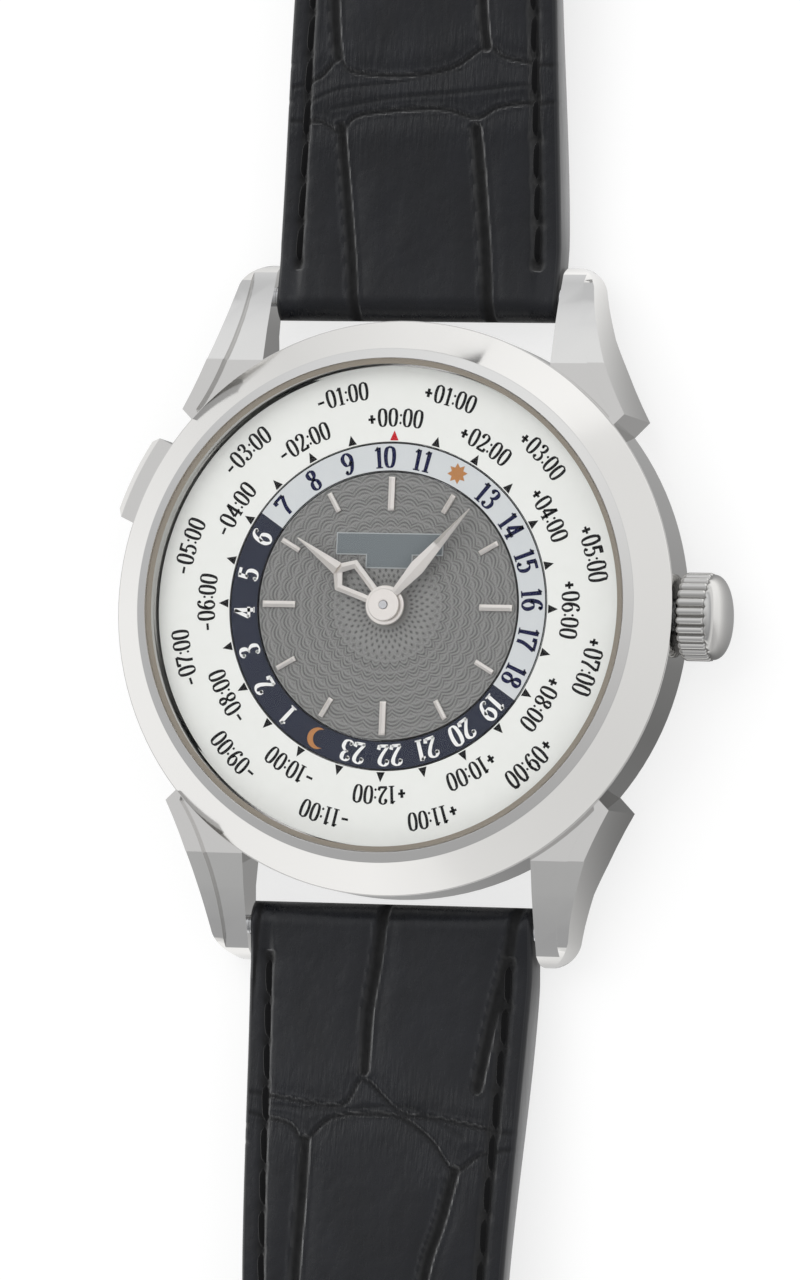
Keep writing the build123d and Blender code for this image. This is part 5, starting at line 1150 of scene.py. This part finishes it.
def creaseFields(spec, x, u):
    # how deep the creases sink a point, how raised their lips are, and the distances to the nearest main crease
    # and to the nearest one across the strap
    s = leather
    sunk, lips = np.zeros(x.shape), np.zeros(x.shape)
    nearest, crossing = np.full(x.shape, s["farAway"]), np.full(x.shape, s["farAway"])
    for depth, width, path in spec["creases"]:
        main = depth > s["mainDepth"]
        distance = distanceToPath(x, u, path)
        width = width * (s["mainWiden"] if main else 1)
        sunk = np.maximum(sunk, depth * np.exp(-(distance / width) ** 4))
        if depth > s["borderDepth"]:
            nearest = np.minimum(nearest, distance)
            lip = np.exp(-((distance - s["lipPlace"] * width) / s["lipWidth"]) ** 2)
            lips = np.maximum(lips, lip * (1 if main else s["crossLip"]))
        if depth < s["crossDepth"]:
            crossing = np.minimum(crossing, distance)
    return sunk, lips, nearest, crossing


def stitchFields(spec, x, u, half):
    # the distance outwards from the stitches, the furrow along them and the pits between them
    s, pitch = leather, stitching["pitch"]
    line = np.abs(x) - (half - stitching["inset"])
    stitches = stitchPlaces(spec)
    inRun = (u > stitches[0] - stitching["runOn"]) & (u < stitches[-1] + stitching["runOn"])
    furrow = s["furrowDepth"] * np.exp(-(line / s["furrowWidth"]) ** 4) * inRun
    phase = (u - stitches[0] + pitch / 2) % pitch - pitch / 2
    pits = s["pitDepth"] * np.exp(-(phase**2 + line**2) / s["pitWidth"] ** 2) * inRun
    return line, furrow, pits


def leatherRelief(spec, x, u, half):
    # scales swell away from the creases; the margin outside the stitches lies lower; all of it eases out at the lugs
    s = leather
    sunk, lips, nearest, _ = creaseFields(spec, x, u)
    line, furrow, pits = stitchFields(spec, x, u, half)
    ease = np.clip((u + strapSizes["eyeRadius"]) / s["endEase"], 0, 1)
    ease = ease**2 * (3 - 2 * ease)
    swell = s["pillow"] * (1 - np.exp(-(nearest / s["pillowReach"]) ** 2))
    inside = 1 / (1 + np.exp((line + s["marginPlace"]) / s["marginBlend"]))
    margin = s["edgeDrop"] * (1 - inside) * ease
    crown = s["crown"] * (x / half) ** 2 * ease
    creases = sunk * (s["marginCrease"] + (1 - s["marginCrease"]) * inside)
    return (swell + s["lip"] * lips) * inside - creases - furrow - pits - margin - crown


def strapSection(spec, u):
    # top and bottom level at u; round about the spring bar, and at the buckle end round about its bar
    s = strapSizes
    top, bottom = smoothLevel(spec["top"], u), smoothLevel(spec["bottom"], u)
    ends = [(np.minimum(u, 0), s["barLevel"], s["eyeRadius"])]
    if spec["side"] > 0:
        ends.append((np.maximum(u - spec["length"], 0), s["barEndLevel"], s["barEndRadius"]))
    for past, level, radius in ends:
        bow = np.sqrt(np.clip(radius**2 - past**2, 0, None))
        top = np.where(past != 0, level + bow, top)
        bottom = np.where(past != 0, level - bow, bottom)
    return top, bottom


def punchStrap(strap, outlines):
    # cuts the buckle holes or the slot of the tongue right through the leather
    parts = [slab(outline, *closure["cutLevels"]) for outline in outlines]
    cutter = newObject("cutter", newMesh("cutter", *joinParts(parts)))
    cut = strap.modifiers.new("cut", "BOOLEAN")
    cut.operation, cut.solver, cut.object = "DIFFERENCE", "MANIFOLD", cutter
    bpy.context.view_layer.update()
    strap.data = bpy.data.meshes.new_from_object(strap.evaluated_get(bpy.context.evaluated_depsgraph_get()))
    strap.modifiers.clear()
    strap.data.materials.clear()
    bpy.data.objects.remove(cutter)
    smoothShading(strap, 50)


def markCreases(strap, spec):
    # two values per point for the leather: how far it lies in a crease, the stitch furrow or a stitch pit, where the
    # leather is painted dark as painted shade, and how near a cross crease
    s = leather
    x, y, z = readVectors(strap.data.vertices, "co").T / mm
    u = np.abs(y) - strapSizes["barDistance"]
    sunk, _, _, crossing = creaseFields(spec, x, u)
    _, furrow, pits = stitchFields(spec, x, u, halfWidthAt(spec, u))
    onTop = z > (smoothLevel(spec["top"], u) + smoothLevel(spec["bottom"], u)) / 2
    # painted shade: the deeper the hollow, the darker the leather is painted
    paintedShade = sunk / s["fullCrease"] + s["furrowShade"] * furrow / s["furrowDepth"] + pits / s["fullPit"]
    writeValues(strap.data, "crease", np.clip(paintedShade, 0, 1) * onTop)
    writeValues(strap.data, "wrinkle", np.exp(-(crossing / s["wrinkleReach"]) ** 2) * onTop)


def paintStrap(strap, spec):
    # leather on top, lining below and paint on the edges
    s = strapSizes
    for finish in (strapLeather, strapLining, edgePaint):
        strap.data.materials.append(finish)
    normals, centres = (readVectors(strap.data.polygons, field) for field in ("normal", "center"))
    centres = centres / mm
    u = np.abs(centres[:, 1]) - s["barDistance"]
    onEdge = np.abs(centres[:, 0]) > halfWidthAt(spec, u) - s["cornerRadius"] * s["sideShare"]
    finishes = np.where(onEdge, 2, np.where((normals[:, 2] < -0.4) & (u > 0.5), 1, 0))
    strap.data.polygons.foreach_set("material_index", finishes.astype(np.int32))


def makeStrap(spec):
    # Sections across the strap, one for each u: the relief on top, a rounded corner, the edge, and the flat
    # underside, then the same back up the other edge.
    s = strapSizes
    turnIn = np.linspace(s["eyeStart"], math.pi / 2, s["eyeSteps"], endpoint=False)
    end = spec["length"]
    if spec["side"] > 0:
        last = end + s["barEndRadius"] * np.sin(np.linspace(0, s["barEndTurn"], 9))
    else:
        last = end - np.array(s["tipSteps"])
    u = np.concatenate([-s["eyeRadius"] * np.cos(turnIn), np.arange(0, s["fineReach"], s["fineGrid"]),
                        np.arange(s["fineReach"], end - s["coarseGrid"] / 2, s["coarseGrid"]), last])[:, None]
    half = halfWidthAt(spec, u)
    top, bottom = strapSection(spec, u)
    thickness = top - bottom
    corner = np.minimum(s["cornerRadius"], np.minimum(thickness * s["cornerShare"], half * s["tipCornerShare"]))
    x = np.linspace(-1, 1, s["columns"])[None] * (half - corner)
    room = np.clip(thickness / s["fullThickness"], 0, 1)
    relief = leatherRelief(spec, x, np.broadcast_to(u, x.shape), half) * room
    topZ = top - leather["pillow"] * room + relief
    edgeTop = topZ[:, -1:]
    low = bottom + np.minimum(corner, (edgeTop - bottom) * s["lowCornerShare"])
    angles = np.linspace(0, math.pi / 2, 5)[1:][None]
    rightX, rightZ = half - corner + corner * np.sin(angles), edgeTop - corner * (1 - np.cos(angles))
    lowX, lowZ = half - corner + corner * np.cos(angles), low - (low - bottom) * np.sin(angles)
    under = np.linspace(1, -1, s["underColumns"])[None, 1:-1] * (half - corner)
    xs = np.concatenate([x, rightX, half, lowX, under, -lowX[:, ::-1], -half, -rightX[:, ::-1]], 1)
    zs = np.concatenate([topZ, rightZ, low, lowZ, np.broadcast_to(bottom, under.shape), lowZ[:, ::-1], low,
                         rightZ[:, ::-1]], 1)
    strap = makePiece("alligatorStrap" + spec["name"], gridPoints(xs, spec["side"] * (s["barDistance"] + u), zs),
                      tubeFaces(*xs.shape), strapLeather, spec["body"], "strap_leather", (spec["node"],), 50)
    punchStrap(strap, spec["openings"])
    markCreases(strap, spec)
    paintStrap(strap, spec)
    return strap


def stitchParts(spec):
    # each stitch is a thread that swells in the middle and dives into the next two holes
    s = stitching
    t = np.linspace(0, 1, s["stations"])[:, None]
    ring = np.linspace(0, 2 * np.pi, s["around"], endpoint=False)[None]
    bulge = 1 - (2 * t - 1) ** 4
    radius = s["radius"] * np.sqrt(np.clip(bulge, 0.02, 1))
    topSink = leather["pillow"] + leather["furrowDepth"] + leather["edgeDrop"] / 2 + s["topSink"]
    faces = tubeFaces(s["stations"], s["around"])
    parts = []
    for hand in (-1, 1):
        for start in stitchPlaces(spec)[:-1]:
            u = start + s["gap"] + t * (s["pitch"] - 2 * s["gap"])
            top, bottom = strapSection(spec, u)
            x = hand * (halfWidthAt(spec, u) - s["inset"]) + s["slant"] * (t - 0.5) + radius * np.cos(ring)
            for level, arch, flat in ((top - topSink, s["arch"], s["topFlat"]),
                                      (bottom + s["underLift"], -s["arch"] / 2, s["underFlat"])):
                z = level + arch * bulge + radius * np.sin(ring) * flat
                parts.append((gridPoints(x, spec["side"] * (strapSizes["barDistance"] + u), z), faces))
    return parts


# A lamp for the leather alone: it comes low from the left and draws the grain and the lips of the creases.
leatherPieces = bpy.data.collections.new("leatherPieces")
stripLamp = makeLamp("stripSoftbox", (-0.62, 0.2, 0.34), (0.35, 1.1), 0.9)
stripLamp.visible_glossy = True
stripLamp.light_linking.receiver_collection = leatherPieces
for spec in (shortStrap, longStrap):
    # the photograph's metal mirrors no leather
    strap = makeStrap(spec)
    leatherPieces.objects.link(strap)
    stitches = makePiece("stitches" + spec["name"], *joinParts(stitchParts(spec)), waxedThread, spec["body"],
                         "strap_leather")
    strap.visible_glossy = stitches.visible_glossy = False
print("straps made")


# Keepers: a rounded leather band carried round the strap
keeperSizes = {"wall": 0.7, "corner": 1.0, "edge": 0.2, "perCorner": 8, "perEdge": 3, "support": 0.3}


def makeKeeper(node, name, body):
    # The band's section (along Y, across the wall) is carried round a rounded rectangle in XZ.
    k = keeperSizes
    low, high = nodeBox(node)
    inner, half = k["wall"] / 2, (high[1] - low[1]) / 2
    (left, bottom), (right, top) = low[[0, 2]] + inner, high[[0, 2]] - inner
    path = roundedProfile([(left, bottom), (right, bottom), (right, top), (left, top)], k["corner"] - inner,
                          k["perCorner"], k["support"])
    ahead = np.roll(path, -1, 0) - np.roll(path, 1, 0)
    ahead /= np.linalg.norm(ahead, axis=1)[:, None]
    outwards = np.column_stack([ahead[:, 1], -ahead[:, 0]])
    section = roundedProfile([(-half, -inner), (half, -inner), (half, inner), (-half, inner)], k["edge"],
                             k["perEdge"])
    across = path[:, None] + outwards[:, None] * section[None, :, 1:]
    points = gridPoints(across[..., 0], (low[1] + high[1]) / 2 + section[:, 0], across[..., 1])
    makePiece(name, points, gridFaces(len(path), len(section), True, True), strapLeather, body, "keeper_leather",
              (node,), 50)


makeKeeper("fixed_keeper", "fixedKeeperLeather", "short_strap")
makeKeeper("free_keeper", "freeKeeperLeather", "free_keeper")
print("keepers made")


# Movement: a finish for every plate and wheel, with its body, slot and bevel, then the jewels and screws
pieceFinishes = [
    ("main_plate", mainPlateFinish, "case", "plate_metal", 0.04),
    ("barrel_bridge", stripedBridge, "case", "plate_metal", 0.1),
    ("train_bridge", stripedBridge, "case", "plate_metal", 0.1),
    ("balance_cock", stripedBridge, "case", "plate_metal", 0.08),
    ("pallet_cock", blackPolish, "case", "plate_metal", 0.05),
    ("rotor", rotorGold, "rotor", "rotor_metal", 0.06), ("rotor_post", blackPolish, "case", "steel", 0.05),
    ("hairspring", blueSpring, "case", "spring_steel", 0), ("barrel", gilt, "barrel", "gilt", 0),
    ("centre_wheel", gilt, "minute_train", "gilt", 0), ("third_wheel", gilt, "third_wheel", "gilt", 0),
    ("fourth_wheel", gilt, "fourth_wheel", "gilt", 0), ("minute_wheel", gilt, "minute_work", "gilt", 0),
    ("hour_wheel", gilt, "hour_train", "gilt", 0), ("balance_wheel", balanceMetal, "balance", "gilt", 0.02),
    ("escape_wheel", blackPolish, "escape_wheel", "steel", 0),
    ("pallet_fork", blackPolish, "pallet_fork", "steel", 0),
    ("barrel_arbor", polishedSteel, "ratchet", "steel", 0), ("ratchet_wheel", polishedSteel, "ratchet", "steel", 0),
    ("crown_wheel", polishedSteel, "crown_wheel", "steel", 0),
    ("cannon_pinion", polishedSteel, "minute_train", "steel", 0),
    ("winding_pinion", polishedSteel, "winding", "steel", 0), ("winding_stem", polishedSteel, "crown", "steel", 0),
    ("crown_tube", polishedSteel, "case", "steel", 0), ("pusher_spring", polishedSteel, "pusher", "spring_steel", 0),
    ("spring_bar_12", polishedSteel, "case", "steel", 0.08), ("spring_bar_6", polishedSteel, "case", "steel", 0.08)]
for entry in pieceFinishes:
    refinePiece(*entry)
print("movement finished")

# Places of jewels and screws on the bridges: (place, level, size), and for a screw the turn of its slot.
trimSizes = {"jewelRadius": 0.4, "jewelHole": 0.12, "cupShare": 0.6, "settingRadius": 0.56, "jewelSink": 0.04,
             "jewelStand": 0.03, "cupDepth": 0.02, "settingLevels": (0.015, 0.02), "settingSink": 0.01,
             "screwRadius": 0.55, "slotWidth": 0.15, "slotDepth": 0.05, "headStand": 0.07, "headSink": 0.02,
             "plateScrews": 12.0}
balancePlace, palletPlace, barrelPlace = (0.797, -8.672), (-2.652, -7.605), (3.76, 4.18)


def polarPoint(radius, degrees, centre=(0.0, 0.0)):
    a = math.radians(degrees)
    return centre[0] + radius * math.cos(a), centre[1] + radius * math.sin(a)


jewelPlaces = [((0.0, 0.0), 2.0, 1.2), ((-4.443, -0.712), 2.0, 1.0), ((-5.904, -4.057), 2.0, 1.0),
               ((-4.906, -6.907), 2.0, 1.0), (balancePlace, 1.95, 1.15), (palletPlace, 3.14, 0.8)]
screwPlaces = [(polarPoint(trimSizes["plateScrews"], degrees), 2.0, size, turn)
               for degrees, size, turn in ((20.0, 1.0, 25), (74.0, 1.0, 80), (-44.5, 1.0, 10), (200.0, 1.0, 130),
                                           (238.0, 0.9, 60))]
screwPlaces += [(polarPoint(4.948, 348.0, balancePlace), 1.95, 1.1, 20),
                (polarPoint(3.804, 250.8, palletPlace), 3.14, 0.7, 75)]


def jewelParts(place, level, size):
    # a ruby with its oil cup, and the gold setting round it; both stand a little proud of the plate's back
    t = trimSizes
    hole, radius, setting = t["jewelHole"], t["jewelRadius"] * size, t["settingRadius"] * size
    sunk, proud = level + t["jewelSink"], level - t["jewelStand"]
    inside, outside = t["settingLevels"]
    cup = [(hole, sunk), (hole, proud + t["cupDepth"]), (radius * t["cupShare"], proud), (radius, proud),
           (radius, sunk)]
    ring = [(radius, level - inside), (setting, level - outside), (setting, level + t["settingSink"]),
            (radius, level + t["settingSink"])]
    return lathe(np.array(cup), 40, place), lathe(np.array(ring), 48, place)


def screwParts(place, level, size, turn):
    # a slotted head: a round foot and two half discs with the slot between them
    t = trimSizes
    radius = t["screwRadius"] * size
    reach = math.asin(t["slotWidth"] / 2 / radius)
    half = disc(radius, np.linspace(reach, math.pi - reach, 18))
    top, floor = level - t["headStand"], level - t["headStand"] + t["slotDepth"]
    foot = disc(radius, np.linspace(0, 2 * np.pi, 36, endpoint=False))
    return [slab(foot + place, floor, level + t["headSink"])] + [slab(turned(half, angle) + place, top, floor)
                                                                  for angle in (turn, turn + 180)]


jewels, settings = zip(*(jewelParts(*entry) for entry in jewelPlaces))
makePiece("jewels", *joinParts(jewels), ruby, "case", "plate_metal")
makePiece("jewelSettings", *joinParts(settings), rotorGold, "case", "plate_metal")
makePiece("bridgeScrews", *joinParts([part for entry in screwPlaces for part in screwParts(*entry)]), blackPolish,
          "case", "plate_metal")
makePiece("ratchetScrew", *joinParts(screwParts(barrelPlace, 1.66, 2.0, 35)), blackPolish, "ratchet", "steel")
print("jewels and screws set")


bpy.context.scene.view_settings.view_transform = "Standard"
